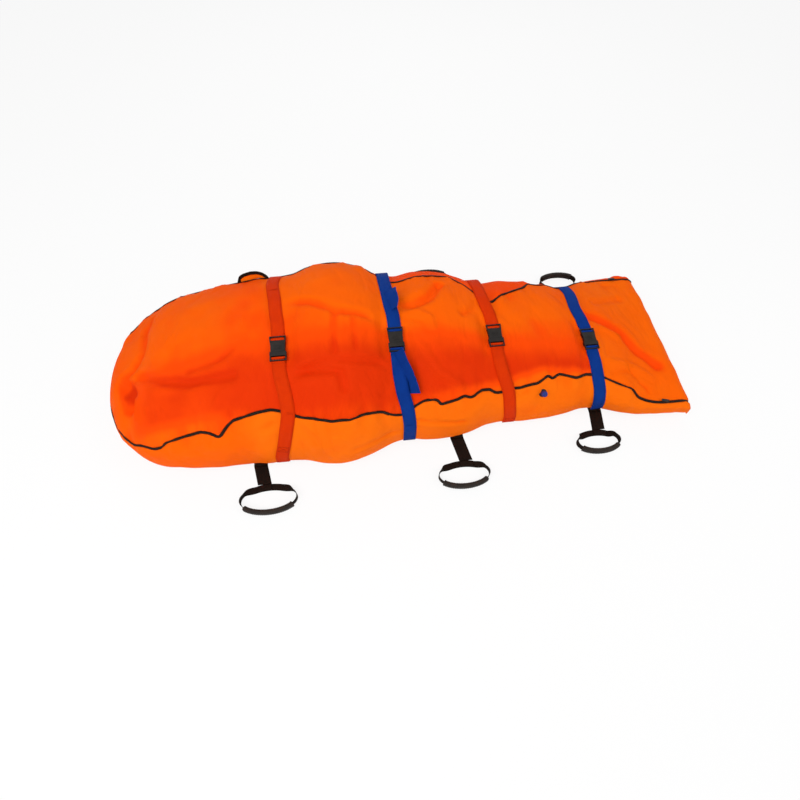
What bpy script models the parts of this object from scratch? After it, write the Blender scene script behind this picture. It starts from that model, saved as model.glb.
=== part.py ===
"""Vacuum stretcher: a vacuum mattress in a zipped carrying bag with cross straps and handles.

Metres, +Z up, +X towards the feet, -Y the near side. The origin is on the floor under the middle.
Run with: blender --background --python part.py
"""
import math

import bmesh
import bpy
from mathutils import Matrix, Vector

# Walls and clearances
TOUCH_GAP = 0.0003
BASE_WALL = 0.0030
COVER_WALL = 0.0020
SEAM_GAP = 0.0014
SOFT_GAP = 0.0008
ZIP_TAPE_WIDTH = 0.0080
ZIP_TAPE_THICK = 0.0012
ZIP_TAPE_GAP = 0.0005
ZIP_END_INSET = 0.0040

# Overall sizes of the bag
OVERALL_LENGTH = 2.176
BAG_WIDTH = 0.808
BAG_HEIGHT = 0.430

# Carrying webs, which run under the bag and end in a handle on each side
WEB_X = tuple(OVERALL_LENGTH * share for share in (-0.256434, 0.084099, 0.344669))
WEB_WIDTH = 0.050
WEB_THICK = 0.0022
WEB_END_INSET = 0.012
DROP_LENGTH = (0.075, 0.095, 0.081)
DROP_SWAY = (-0.016, -0.018, 0.012)
LOOP_HALF_WIDTH = (0.100, 0.094, 0.082)
LOOP_DEPTH = (0.095, 0.090, 0.081)
LOOP_SHIFT = (-0.018, 0.018, 0.022)
LOOP_WEB_WIDTH = 0.025
GRIP_HEIGHT = 0.0300
GRIP_THICK = 0.0150
GRIP_CHAMFER = 0.0040
LOOP_TWIST_END = math.radians(64)
LOOP_SIDE_TURNS = (math.radians(82), math.radians(102))
LOOP_PATCH_STEP = math.radians(0.4)
GRIP_TURN = math.radians(122)

# Bag: its two ends and the height of its underside above the floor
HEAD_END = -OVERALL_LENGTH / 2 + ZIP_TAPE_GAP + ZIP_TAPE_THICK
FOOT_END = OVERALL_LENGTH / 2
BAG_LIFT = WEB_THICK + TOUCH_GAP

# Bag outline, as shares of the bag's length, width and height: place along the bag, half width,
# crown height, and how far out the zip lies on each side as a share of the half width there
BAG_SHARES = (
    (-0.50092, 0.39604, 0.51163, 0.860, 0.810),
    (-0.44577, 0.41584, 0.54186, 0.950, 0.820),
    (-0.39062, 0.44307, 0.66977, 0.920, 0.850),
    (-0.31710, 0.46535, 0.76977, 0.870, 0.860),
    (-0.25276, 0.46411, 0.87209, 0.800, 0.740),
    (-0.17923, 0.48515, 0.93953, 0.810, 0.770),
    (-0.10110, 0.50000, 1.00000, 0.860, 0.780),
    (-0.01379, 0.43317, 0.89767, 0.900, 0.520),
    (0.06893, 0.42698, 0.85349, 0.850, 0.600),
    (0.15165, 0.38985, 0.72558, 0.820, 0.280),
    (0.23438, 0.37748, 0.63721, 0.730, 0.620),
    (0.32629, 0.35891, 0.53023, 0.730, 0.840),
    (0.40901, 0.40099, 0.35349, 0.930, 0.920),
    (0.47335, 0.41584, 0.27442, 0.930, 0.920),
)
BAG_OUTLINE = tuple((OVERALL_LENGTH * row[0], BAG_WIDTH * row[1], BAG_HEIGHT * row[2], row[3], row[4])
                    for row in BAG_SHARES)
EQUATOR_Z = 0.090
BOTTOM_SHARE = 0.82
LOW_SIDE_SHARE = 0.74
LOW_SIDE_RISE = 0.30
CROWN_POWER = 2.2
HEAD_ROUND_LENGTH = 0.240
HEAD_STEPS = (0.05, 0.14, 0.27, 0.42, 0.68, 1.00)
MATTRESS_HEAD_STEP = 0.42
FOOT_ROUND_LENGTH = 0.045
ROUND_POWER = 2.4
ROUND_START = 0.016
FOOT_EDGE_SHARE = 0.45
HEAD_HEIGHT_POWER = 0.7
STATION_APART = 0.010
WIDEST_ZIP_SHARE = 0.99
LOW_SIDE_DRAW = (0.75, 0.60)
BOTTOM_DRAW = 0.30

# Cross straps: where they lie, how they press the bag in, and the webbing itself
STRAP_X = tuple(OVERALL_LENGTH * share for share in (-0.193015, -0.013787, 0.151654, 0.326287))
STRAP_WIDTH = 0.045
STRAP_THICK = 0.0018
STRAP_LIFT = ZIP_TAPE_GAP + ZIP_TAPE_THICK + TOUCH_GAP
STRAP_SEWN_Z = 0.030
STRAP_SEWN_LENGTH = 0.020
STRAP_PRESS = 0.012
STRAP_PRESS_REACH = 0.073
STRAP_PRESS_FADE = 2.5
LAYER_GAP = 0.0005
SOCKET_RETURN = 0.040
TAIL_LENGTH = (0.190, 0.180, 0.345, 0.290)

# Buckles, measured along the strap from the buckle's middle and up from the fabric
BUCKLE_SEAT_Y = (0.060, 0.052, 0.022, 0.016)
BUCKLE_SEAT_LENGTH = 0.114
BUCKLE_SEAT_SHARES = (0.20, 0.60)
BUCKLE_HALF_LENGTH = 0.044
BUCKLE_WIDTH = 0.054
BUCKLE_THICK = 0.0130
BUCKLE_WALL = 0.0025
SOCKET_MOUTH = -0.012
SOCKET_END = 0.027
SOCKET_SIDE = 0.0060
SOCKET_FLOOR = 0.0030
WINDOW_FROM = 0.002
WINDOW_TO = 0.014
RAIL_WIDTH = 0.0037
BAR_PLACE = 0.033
BAR_SIZE = 0.0032
BAR_CLEARANCE = 0.0004
END_BAR_WIDTH = 0.0035
RAIL_THICK = 0.0058
GUIDE_HALF_WIDTH = 0.004
GUIDE_LENGTH = 0.030
GUIDE_THICK = 0.0040
PRONG_INNER = 0.012
PRONG_WIDTH = 0.005
PRONG_LENGTH = 0.027
PRONG_THICK = 0.005
PRONG_BARB = 0.0245
BARB_FROM = (0.50, 0.56)
BARB_TO = (0.80, 1.00)

# Vacuum mattress
MATTRESS_GAP = 0.0022
MATTRESS_THICK = 0.050
MATTRESS_NEAR_RIM = 0.75
ENVELOPE_WALL = 0.0012
BEAD_GAP = 0.0004

# Valve in the near side, sizes along its axis counted from the bag's face
VALVE_X = OVERALL_LENGTH * 0.222886
VALVE_SEAT_SHARE = 0.30
VALVE_NECK_RADIUS = 0.0097
VALVE_FLANGE_RADIUS = 0.0200
VALVE_FLANGE_THICK = 0.0022
VALVE_COLLAR_RADIUS = 0.0150
VALVE_COLLAR_THICK = 0.0050
VALVE_NOZZLE_RADIUS = 0.0080
VALVE_NOZZLE_LENGTH = 0.0240
VALVE_BORE_RADIUS = 0.0050
POPPET_RADIUS = 0.0070
POPPET_THICK = 0.0020
STEM_RADIUS = 0.0015
STEM_BUTTON_RADIUS = 0.0040
STEM_BUTTON_THICK = 0.0020
STEM_TRAVEL = 0.0040
CAP_WALL = 0.0018
CAP_SKIRT = 0.0140

# Zip sliders and their pull tabs
SLIDER_FROM_FOOT = 0.113
SLIDER_TRAVEL = 0.095
SLIDER_LENGTH = 0.016
SLIDER_WIDTH = 0.012
SLIDER_THICK = 0.0040
LUG_THICK = 0.0015
LUG_LENGTH = 0.0034
PIN_RADIUS = 0.0005
PIN_HEIGHT = 0.0022
PULL_BARREL_RADIUS = 0.0016
PULL_LENGTH = 0.028
PULL_WIDTH = 0.009
PULL_THICK = 0.0016

# Sides of turned pieces
ROUND_SIDES = 20
SMALL_SIDES = 10

# Colours and finishes: base colour, roughness, metallic
FINISHES = {
    "base_fabric": ((1.0, 0.17, 0.004), 0.75, 0.0),
    "cover_fabric": ((0.85, 0.045, 0.001), 0.75, 0.0),
    "zip_tape": ((0.006, 0.004, 0.004), 0.55, 0.0),
    "orange_webbing": ((0.70, 0.030, 0.001), 0.70, 0.0),
    "blue_webbing": ((0.005, 0.045, 0.28), 0.70, 0.0),
    "black_webbing": ((0.008, 0.004, 0.003), 0.80, 0.0),
    "black_plastic": ((0.010, 0.008, 0.008), 0.40, 0.0),
    "rubber": ((0.014, 0.009, 0.007), 0.60, 0.0),
    "envelope_film": ((0.55, 0.06, 0.01), 0.45, 0.0),
    "beads": ((0.90, 0.90, 0.88), 0.80, 0.0),
    "metal": ((0.60, 0.60, 0.60), 0.30, 1.0),
    "blue_plastic": ((0.010, 0.040, 0.30), 0.45, 0.0),
}
WEBBING_FINISH = ("orange_webbing", "blue_webbing", "orange_webbing", "blue_webbing")


def clear_scene():
    """Remove every object, so that only the stretcher is left."""
    for old in list(bpy.data.objects):
        bpy.data.objects.remove(old, do_unlink=True)


def finish(name):
    """The named material, made once."""
    found = bpy.data.materials.get(name)
    if found:
        return found
    colour, roughness, metallic = FINISHES[name]
    made = bpy.data.materials.new(name)
    made.use_nodes = True
    shader = made.node_tree.nodes["Principled BSDF"]
    shader.inputs["Base Color"].default_value = (*colour, 1.0)
    shader.inputs["Roughness"].default_value = roughness
    shader.inputs["Metallic"].default_value = metallic
    return made


def as_mesh(name, shape, smooth=False):
    """A closed bmesh as mesh data with its faces pointing out."""
    bmesh.ops.recalc_face_normals(shape, faces=shape.faces)
    return to_mesh(name, shape, smooth)


def to_mesh(name, shape, smooth=False):
    """A bmesh as mesh data, with its faces as they are."""
    mesh = bpy.data.meshes.new(name)
    shape.to_mesh(mesh)
    shape.free()
    if smooth:
        mesh.shade_smooth()
        mesh.set_sharp_from_angle(angle=math.radians(40))
    return mesh


def add_object(name, mesh, finish_name, place=None):
    """Link mesh data as an object; place is the matrix of its own axes in the world."""
    if not mesh.materials:
        mesh.materials.append(finish(finish_name))
    made = bpy.data.objects.new(name, mesh)
    bpy.context.scene.collection.objects.link(made)
    if place is not None:
        made.matrix_world = place
    return made


def add_cut(target, cutter, operation="DIFFERENCE"):
    """Cut one object out of another, or join it on, with a Boolean."""
    cutter.hide_render = True
    cutter.display_type = "WIRE"
    step = target.modifiers.new(operation.lower(), "BOOLEAN")
    step.operation = operation
    step.solver = "EXACT"
    step.object = cutter


def box(low, high):
    """A bmesh box between two corners."""
    shape = bmesh.new()
    size = Vector(high) - Vector(low)
    place = Matrix.Translation((Vector(high) + Vector(low)) / 2) @ Matrix.Diagonal((*size, 1.0))
    bmesh.ops.create_cube(shape, size=1.0, matrix=place)
    return shape


def rod(radius, half_length, x=0.0, z=0.0):
    """A bmesh rod along the local Y axis."""
    shape = bmesh.new()
    place = Matrix.Translation((x, 0.0, z)) @ Matrix.Rotation(math.pi / 2, 4, "X")
    bmesh.ops.create_cone(shape, cap_ends=True, segments=SMALL_SIDES, radius1=radius, radius2=radius,
                          depth=2 * half_length, matrix=place)
    return shape


def carved(name, solids, holes=()):
    """One mesh from overlapping closed shapes joined together, less the holes."""
    first = bpy.data.objects.new(name, as_mesh(name, solids[0]))
    pieces = [first]
    steps = [(shape, "UNION") for shape in solids[1:]] + [(shape, "DIFFERENCE") for shape in holes]
    for shape, operation in steps:
        piece = bpy.data.objects.new(name + "_piece", as_mesh(name + "_piece", shape))
        pieces.append(piece)
        add_cut(first, piece, operation)
    for piece in pieces:
        bpy.context.scene.collection.objects.link(piece)
    seen = first.evaluated_get(bpy.context.evaluated_depsgraph_get())
    mesh = bpy.data.meshes.new_from_object(seen)
    for piece in pieces:
        bpy.data.objects.remove(piece, do_unlink=True)
    mesh.name = name
    return mesh


def turned(profile, closed, sides=ROUND_SIDES):
    """A bmesh turned about local Z from points of radius and height."""
    shape = bmesh.new()
    verts = [shape.verts.new((radius, 0.0, height)) for radius, height in profile]
    edges = [shape.edges.new(pair) for pair in zip(verts, verts[1:])]
    if closed:
        edges.append(shape.edges.new((verts[-1], verts[0])))
    bmesh.ops.spin(shape, geom=verts + edges, axis=(0, 0, 1), cent=(0, 0, 0), steps=sides,
                   angle=2 * math.pi, use_merge=True)
    bmesh.ops.remove_doubles(shape, verts=shape.verts, dist=1e-6)
    return shape


def lofted(rings, closed_rings=True, end_faces=True, split=False):
    """A bmesh skin through equal rows of points; split halves each face along one diagonal."""
    shape = bmesh.new()
    rows = [[shape.verts.new(point) for point in ring] for ring in rings]
    count = len(rows[0])
    for first, second in zip(rows, rows[1:]):
        for k in range(count if closed_rings else count - 1):
            after = (k + 1) % count
            if split:
                shape.faces.new((first[k], first[after], second[after]))
                shape.faces.new((first[k], second[after], second[k]))
            else:
                shape.faces.new((first[k], first[after], second[after], second[k]))
    if end_faces:
        shape.faces.new(list(reversed(rows[0])))
        shape.faces.new(rows[-1])
    return shape


def drawn_in(ring, other, distance):
    """A ring moved along the loft towards the ring beside it."""
    share = distance / abs(other[0][0] - ring[0][0])
    return [tuple(Vector(point).lerp(Vector(after), share)) for point, after in zip(ring, other)]


def towards(start, end, distance):
    """The 2D point a distance along the way from start to end."""
    share = distance / math.dist(start, end)
    return start[0] + (end[0] - start[0]) * share, start[1] + (end[1] - start[1]) * share


def offset_line(points, distance):
    """A 2D line moved sideways, with mitred corners. Outwards is positive from far to near."""
    normals = []
    for start, end in zip(points, points[1:]):
        length = math.dist(start, end)
        normals.append(((end[1] - start[1]) / length, -(end[0] - start[0]) / length))
    moved = []
    for k, point in enumerate(points):
        before = normals[max(k - 1, 0)]
        after = normals[min(k, len(normals) - 1)]
        scale = distance / (1 + before[0] * after[0] + before[1] * after[1])
        moved.append((point[0] + (before[0] + after[0]) * scale, point[1] + (before[1] + after[1]) * scale))
    return moved


def trimmed(points, length):
    """The first stretch of a 2D line, cut at a length."""
    kept = [points[0]]
    for start, end in zip(points, points[1:]):
        step = math.dist(start, end)
        if step >= length:
            kept.append(towards(start, end, length))
            return kept
        kept.append(end)
        length -= step
    return kept


def row_slope(k, column):
    """Slope of the outline's curve at one row of its table."""
    if k == 0 or k == len(BAG_OUTLINE) - 1:
        return 0.0
    low, high = BAG_OUTLINE[k - 1], BAG_OUTLINE[k + 1]
    return (high[column] - low[column]) / (high[0] - low[0])


def outline_value(x, column):
    """One column of the bag's outline at x, on a smooth curve through its rows."""
    x = min(max(x, BAG_OUTLINE[0][0]), BAG_OUTLINE[-1][0])
    k = max(i for i, row in enumerate(BAG_OUTLINE[:-1]) if row[0] <= x)
    low, high = BAG_OUTLINE[k], BAG_OUTLINE[k + 1]
    span = high[0] - low[0]
    t = (x - low[0]) / span
    return ((1 + 2 * t) * (1 - t) ** 2 * low[column] + t * (1 - t) ** 2 * span * row_slope(k, column)
            + t * t * (3 - 2 * t) * high[column] + t * t * (t - 1) * span * row_slope(k + 1, column))


def flat_zones():
    """Places where the bag's outline stays the same, under a strap and round the valve."""
    zones = [(x, BUCKLE_WIDTH / 2) for x in STRAP_X]
    zones.append((VALVE_X, VALVE_FLANGE_RADIUS + ENVELOPE_WALL + BEAD_GAP * 4))
    return zones


def settled(x):
    """x, or the middle of the flat zone that it lies in."""
    for centre, reach in flat_zones():
        if abs(x - centre) <= reach + 1e-6:
            return centre
    return x


def strap_dip(x):
    """How far the straps press the bag in at x."""
    dip = 0.0
    for centre in STRAP_X:
        away = max(abs(x - centre) - BUCKLE_WIDTH / 2, 0.0) / STRAP_PRESS_REACH
        dip = max(dip, STRAP_PRESS * math.exp(-STRAP_PRESS_FADE * away * away))
    return dip


def rounding(distance, reach):
    """How full a rounded end is at a distance from its tip, from 0 to 1."""
    share = min(max(distance / reach + ROUND_START, 0.0), 1.0)
    return (1 - (1 - share) ** ROUND_POWER) ** (1 / ROUND_POWER)


def buckle_seat_start(x):
    """Where the flat seat of the buckles starts on the near side at x."""
    if x <= STRAP_X[0]:
        return BUCKLE_SEAT_Y[0]
    for k in range(len(STRAP_X) - 1):
        if x <= STRAP_X[k + 1]:
            t = (x - STRAP_X[k]) / (STRAP_X[k + 1] - STRAP_X[k])
            return BUCKLE_SEAT_Y[k] * (1 - t) + BUCKLE_SEAT_Y[k + 1] * t
    return BUCKLE_SEAT_Y[-1]


class Section:
    """The bag's outer outline at one place along it."""

    def __init__(self, x):
        level = settled(x)
        dip = strap_dip(level)
        head = rounding(level - HEAD_END, HEAD_ROUND_LENGTH)
        foot = rounding(FOOT_END - level, FOOT_ROUND_LENGTH)
        foot_share = FOOT_EDGE_SHARE + (1 - FOOT_EDGE_SHARE) * foot
        self.x = x
        self.half_width = (outline_value(level, 1) - dip) * head
        further = rounding(level - HEAD_END + ENVELOPE_WALL, HEAD_ROUND_LENGTH)
        ahead = (outline_value(level, 1) - dip) * further
        self.lean = math.hypot(1.0, (ahead - self.half_width) / ENVELOPE_WALL)
        self.equator = EQUATOR_Z * foot_share
        tall = (outline_value(level, 2) - dip - EQUATOR_Z) * head ** HEAD_HEIGHT_POWER
        self.crown = self.equator + tall * foot_share
        self.near_zip = self.angle_at(outline_value(level, 3))
        self.far_zip = self.angle_at(outline_value(level, 4))
        seat = min(buckle_seat_start(level) / self.half_width, BUCKLE_SEAT_SHARES[0])
        seat_end = min(seat + BUCKLE_SEAT_LENGTH / self.half_width, BUCKLE_SEAT_SHARES[1])
        self.seat_high = math.pi - self.angle_at(seat)
        self.seat_low = math.pi - self.angle_at(seat_end)

    def angle_at(self, share):
        """Angle above the equator of the point at a share of the half width."""
        return math.acos(min(share, WIDEST_ZIP_SHARE) ** (CROWN_POWER / 2))

    def upper(self, angle, inset=0.0):
        """A point on the upper curve: angle 0 is the far equator, pi the near one."""
        c = math.cos(angle)
        s = max(math.sin(angle), 0.0)
        y = math.copysign(abs(c) ** (2 / CROWN_POWER), c) * (self.half_width - inset)
        rise = (self.crown - self.equator) * (1 - inset / self.crown)
        return y, self.equator + s ** (2 / CROWN_POWER) * rise

    def low_side(self, side, inset=0.0):
        """The point between the bottom's edge and the equator."""
        share = BOTTOM_SHARE + (1 - BOTTOM_SHARE) * LOW_SIDE_SHARE
        y = share * self.half_width - inset * LOW_SIDE_DRAW[0]
        return side * y, self.equator * LOW_SIDE_RISE + inset * LOW_SIDE_DRAW[1]

    def bottom_edge(self, side, inset=0.0):
        """The edge of the flat bottom."""
        return side * (BOTTOM_SHARE * self.half_width - inset * BOTTOM_DRAW), BAG_LIFT + inset

    def base_outline(self):
        """Points from the near zip down round the bottom to the far zip."""
        points = [self.upper(math.pi - self.near_zip * k) for k in (1.0, 0.5, 0.0)]
        points += [self.low_side(-1), self.bottom_edge(-1), self.bottom_edge(1), self.low_side(1)]
        points += [self.upper(self.far_zip * k) for k in (0.0, 1 / 3, 2 / 3, 1.0)]
        return points

    def taped(self, points):
        """The same points with one more at each end, where the zip's tape ends."""
        start = towards(points[0], points[1], ZIP_TAPE_WIDTH)
        end = towards(points[-1], points[-2], ZIP_TAPE_WIDTH)
        return [points[0], start] + points[1:-1] + [end, points[-1]]

    def crown_points(self):
        """Points from the far zip over the crown to the near zip."""
        step = (self.seat_high - self.far_zip) / 3
        near = math.pi - self.near_zip
        angles = [self.far_zip, self.far_zip + step, self.far_zip + 2 * step]
        angles += [self.seat_high, self.seat_low, (self.seat_low + near) / 2, near]
        return [self.upper(angle) for angle in angles]

    def cover_outline(self):
        """The crown's points, drawn back from the zip at both ends."""
        points = self.crown_points()
        points[0] = towards(points[0], points[1], SEAM_GAP)
        points[-1] = towards(points[-1], points[-2], SEAM_GAP)
        return points

    def whole_outline(self):
        """Points from the far low side over the crown to the near low side."""
        base = self.base_outline()
        return base[6:10] + self.crown_points() + base[1:4]

    def mattress_ring(self, gap, thick, wall):
        """A closed ring: the mattress's outer face, then its inner face, a wall short of its rims."""
        base = self.base_outline()
        near_height = math.dist(base[0], base[1]) * MATTRESS_NEAR_RIM
        outer = [towards(base[1], base[0], near_height - wall)] + base[1:8]
        outer.append(towards(base[9], base[8], wall))
        back = wall / (self.crown - self.equator)
        near_rim = self.near_zip * (1 + MATTRESS_NEAR_RIM) / 2 - back
        inner = [self.upper(math.pi - near_rim, thick), self.upper(math.pi - self.near_zip / 2, thick)]
        inner += [self.upper(math.pi, thick), self.low_side(-1, thick), self.bottom_edge(-1, thick)]
        inner += [self.bottom_edge(1, thick), self.low_side(1, thick)]
        inner += [self.upper(0.0, thick), self.upper(self.far_zip * 2 / 3 - back, thick)]
        return [(self.x, y, z) for y, z in offset_line(outer, -gap * self.lean) + inner[::-1]]


def slider_run():
    """The straight stretch of the zip that a slider runs on."""
    middle = FOOT_END - SLIDER_FROM_FOOT
    return middle - SLIDER_TRAVEL - SLIDER_LENGTH, middle + SLIDER_LENGTH


def stations():
    """The places along the bag where its outline is taken."""
    run_start, run_end = slider_run()
    fixed = [HEAD_END, FOOT_END, run_start, run_end]
    for centre, reach in flat_zones():
        fixed += [centre - reach, centre + reach]
    free = [FOOT_END - FOOT_ROUND_LENGTH]
    free += [HEAD_END + HEAD_ROUND_LENGTH * step for step in HEAD_STEPS]
    for centre in STRAP_X:
        reach = BUCKLE_WIDTH / 2 + STRAP_PRESS_REACH
        free += [centre - reach, centre + reach]
    free += [(a + b) / 2 for a, b in zip(STRAP_X, STRAP_X[1:])]
    free += [(HEAD_END + HEAD_ROUND_LENGTH + STRAP_X[0]) / 2]
    fixed = [x for x in fixed if HEAD_END <= x <= FOOT_END]
    for x in free:
        clear = all(abs(x - other) > STATION_APART for other in fixed)
        if clear and not run_start < x < run_end:
            fixed.append(x)
    return sorted(fixed)


def skin(name, rows, wall, finish_name):
    """A fabric shell through open rows of points, closed at both ends, with its wall inside."""
    mesh = to_mesh(name, lofted(rows, closed_rings=False, split=True))
    made = add_object(name, mesh, finish_name)
    step = made.modifiers.new("wall", "SOLIDIFY")
    step.thickness = wall
    step.offset = -1
    step.use_even_offset = True
    step.use_quality_normals = True
    return made


def build_bag(places):
    """The bag's lower shell and its cover."""
    base_rows = [[(s.x, y, z) for y, z in s.taped(s.base_outline())] for s in places]
    cover_rows = [[(s.x, y, z) for y, z in s.taped(s.cover_outline())] for s in places]
    base = skin("bag_base", base_rows, BASE_WALL, "base_fabric")
    skin("bag_cover", cover_rows, COVER_WALL, "cover_fabric")
    return base


def zip_strip(name, places, outline, edge_first):
    """One tape of the zip: along the near side, round the head and back on the far side."""
    rows = []
    for near in (True, False):
        for section in reversed(places) if near else places:
            points = outline(section)
            rim, inside = (points[0], points[1]) if near == edge_first else (points[-1], points[-2])
            start = towards(rim, inside, TOUCH_GAP)
            end = towards(rim, inside, ZIP_TAPE_WIDTH)
            pair = (end, start) if edge_first else (start, end)
            rows.append([(section.x, *point) for point in pair])
    rows[0] = drawn_in(rows[0], rows[1], ZIP_END_INSET)
    rows[-1] = drawn_in(rows[-1], rows[-2], ZIP_END_INSET)
    shape = lofted(rows, closed_rings=False, end_faces=False, split=True)
    bmesh.ops.recalc_face_normals(shape, faces=shape.faces)
    shape.normal_update()
    shape.faces.ensure_lookup_table()
    if shape.faces[0].normal.y > 0:
        bmesh.ops.reverse_faces(shape, faces=shape.faces)
    shape.normal_update()
    moves = [vert.normal * ZIP_TAPE_GAP * vert.calc_shell_factor() for vert in shape.verts]
    for vert, move in zip(shape.verts, moves):
        vert.co += move
    made = add_object(name, to_mesh(name, shape), "zip_tape")
    step = made.modifiers.new("tape", "SOLIDIFY")
    step.thickness = ZIP_TAPE_THICK
    step.offset = 1
    step.use_even_offset = True


def build_zip_tapes(places):
    """The two tapes of the zip, one on the base and one on the cover."""
    zip_strip("zip_tape_lower", places, Section.base_outline, edge_first=True)
    zip_strip("zip_tape_upper", places, Section.cover_outline, edge_first=False)


class BuckleSeat:
    """Axes of one buckle on the bag: u along X, v up the strap to the far side, n off the fabric."""

    def __init__(self, x):
        self.section = Section(x)
        high = self.section.upper(self.section.seat_high)
        low = self.section.upper(self.section.seat_low)
        length = math.dist(high, low)
        self.x = x
        self.middle = ((high[0] + low[0]) / 2, (high[1] + low[1]) / 2)
        self.up = ((high[0] - low[0]) / length, (high[1] - low[1]) / length)
        self.normal = (-self.up[1], self.up[0])

    def point(self, v, n):
        """The YZ point at a place along the strap and a height off the fabric."""
        return (self.middle[0] + self.up[0] * v + self.normal[0] * n,
                self.middle[1] + self.up[1] * v + self.normal[1] * n)

    def place(self, u=0.0, v=0.0, n=0.0):
        """World matrix of the buckle's axes, moved by u, v and n."""
        y, z = self.point(v, n)
        turn = Matrix(((1, 0, 0), (0, self.up[0], self.normal[0]), (0, self.up[1], self.normal[1])))
        return Matrix.Translation((self.x + u, y, z)) @ turn.to_4x4()


def strap_heights():
    """Heights off the fabric of the strap's two layers and of the buckle's bar above them."""
    first = STRAP_LIFT + STRAP_THICK / 2
    second = first + STRAP_THICK + LAYER_GAP
    bar_low = second + STRAP_THICK / 2 + LAYER_GAP
    return first, second, bar_low


def wrapped_end(seat, side):
    """The strap's way round the buckle's bar, from the lower layer to the upper one."""
    first, second, bar_low = strap_heights()
    reach = BAR_SIZE / 2 + BAR_CLEARANCE + STRAP_THICK / 2
    top = bar_low + BAR_SIZE + BAR_CLEARANCE + STRAP_THICK / 2
    inner = side * (BAR_PLACE - reach)
    outer = side * (BAR_PLACE + reach)
    corners = ((inner, first), (inner, top), (outer, top), (outer, second))
    return [seat.point(v, n) for v, n in corners]


def webbing(name, x, path, finish_name):
    """A strip of webbing along a YZ path, as wide as the strap along X."""
    outline = offset_line(path, STRAP_THICK / 2) + offset_line(path, -STRAP_THICK / 2)[::-1]
    shape = bmesh.new()
    verts = [shape.verts.new((x - STRAP_WIDTH / 2, y, z)) for y, z in outline]
    face = shape.faces.new(verts)
    side = bmesh.ops.extrude_face_region(shape, geom=[face])
    moved = [part for part in side["geom"] if isinstance(part, bmesh.types.BMVert)]
    bmesh.ops.translate(shape, verts=moved, vec=(STRAP_WIDTH, 0.0, 0.0))
    return add_object(name, as_mesh(name, shape), finish_name)


def sewn_end(section, side):
    """The strap's first points, from where it is sewn on the bag's lower side."""
    equator = section.upper(0.0 if side > 0 else math.pi)
    low = section.low_side(side)
    share = (equator[1] - STRAP_SEWN_Z) / (equator[1] - low[1])
    end = towards(equator, low, math.dist(equator, low) * share)
    raised = towards(end, equator, STRAP_SEWN_LENGTH)
    along = (equator[0] - low[0], equator[1] - low[1])
    length = math.hypot(*along)
    normal = (side * along[1] / length, -abs(along[0]) / length)
    close = TOUCH_GAP + STRAP_THICK / 2
    first = strap_heights()[0]
    return [(end[0] + normal[0] * close, end[1] + normal[1] * close),
            (raised[0] + normal[0] * first, raised[1] + normal[1] * first)]


def build_straps():
    """The two webbings of each cross strap, with the near one's tail."""
    first, second, _ = strap_heights()
    for k, x in enumerate(STRAP_X):
        seat = BuckleSeat(x)
        outline = seat.section.whole_outline()
        lower = offset_line(outline, first)
        upper = offset_line(outline, second)
        high = 4 + 3
        far = sewn_end(seat.section, 1) + lower[1:high + 1]
        far_wrap = wrapped_end(seat, 1)
        far_return = trimmed([far_wrap[-1]] + upper[high:0:-1], SOCKET_RETURN)
        webbing(f"strap_far_{k + 1}", x, far + far_wrap + far_return[1:], WEBBING_FINISH[k])
        near = sewn_end(seat.section, -1) + lower[-2:high:-1]
        near_wrap = wrapped_end(seat, -1)
        near_tail = trimmed([near_wrap[-1]] + upper[high + 1:], TAIL_LENGTH[k])
        webbing(f"strap_near_{k + 1}", x, near + near_wrap + near_tail[1:], WEBBING_FINISH[k])


def buckle_frame(side):
    """The side rails and the two bars at one end of a buckle."""
    bar_low = strap_heights()[2]
    half = BUCKLE_WIDTH / 2
    rail = sorted((side * (SOCKET_END - RAIL_WIDTH / 2), side * BUCKLE_HALF_LENGTH))
    shapes = []
    for edge in (-1, 1):
        across = sorted((edge * (half - RAIL_WIDTH), edge * half))
        shapes.append(box((across[0], rail[0], bar_low), (across[1], rail[1], bar_low + RAIL_THICK)))
    inside = half - RAIL_WIDTH / 2
    bar = (side * BAR_PLACE - BAR_SIZE / 2, side * BAR_PLACE + BAR_SIZE / 2)
    end = sorted((side * (BUCKLE_HALF_LENGTH - END_BAR_WIDTH), side * (BUCKLE_HALF_LENGTH - TOUCH_GAP)))
    shapes.append(box((-inside, bar[0], bar_low + TOUCH_GAP), (inside, bar[1], bar_low + BAR_SIZE)))
    high = bar_low + RAIL_THICK - TOUCH_GAP
    shapes.append(box((-inside, end[0], bar_low + TOUCH_GAP), (inside, end[1], high)))
    return shapes


def socket_mesh():
    """The socket: a flat box open towards the tongue, with a window in each side."""
    half = BUCKLE_WIDTH / 2
    low = SOFT_GAP + BUCKLE_WALL
    high = SOFT_GAP + BUCKLE_THICK - BUCKLE_WALL
    body = box((-half, SOCKET_MOUTH, SOFT_GAP), (half, SOCKET_END, SOFT_GAP + BUCKLE_THICK))
    hollow = box((SOCKET_SIDE - half, SOCKET_MOUTH - BUCKLE_WALL, low),
                 (half - SOCKET_SIDE, SOCKET_END - SOCKET_FLOOR, high))
    windows = box((-half - BUCKLE_WALL, WINDOW_FROM, low + TOUCH_GAP),
                  (half + BUCKLE_WALL, WINDOW_TO, high - TOUCH_GAP))
    return carved("buckle_socket", [body] + buckle_frame(1), [hollow, windows])


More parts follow.
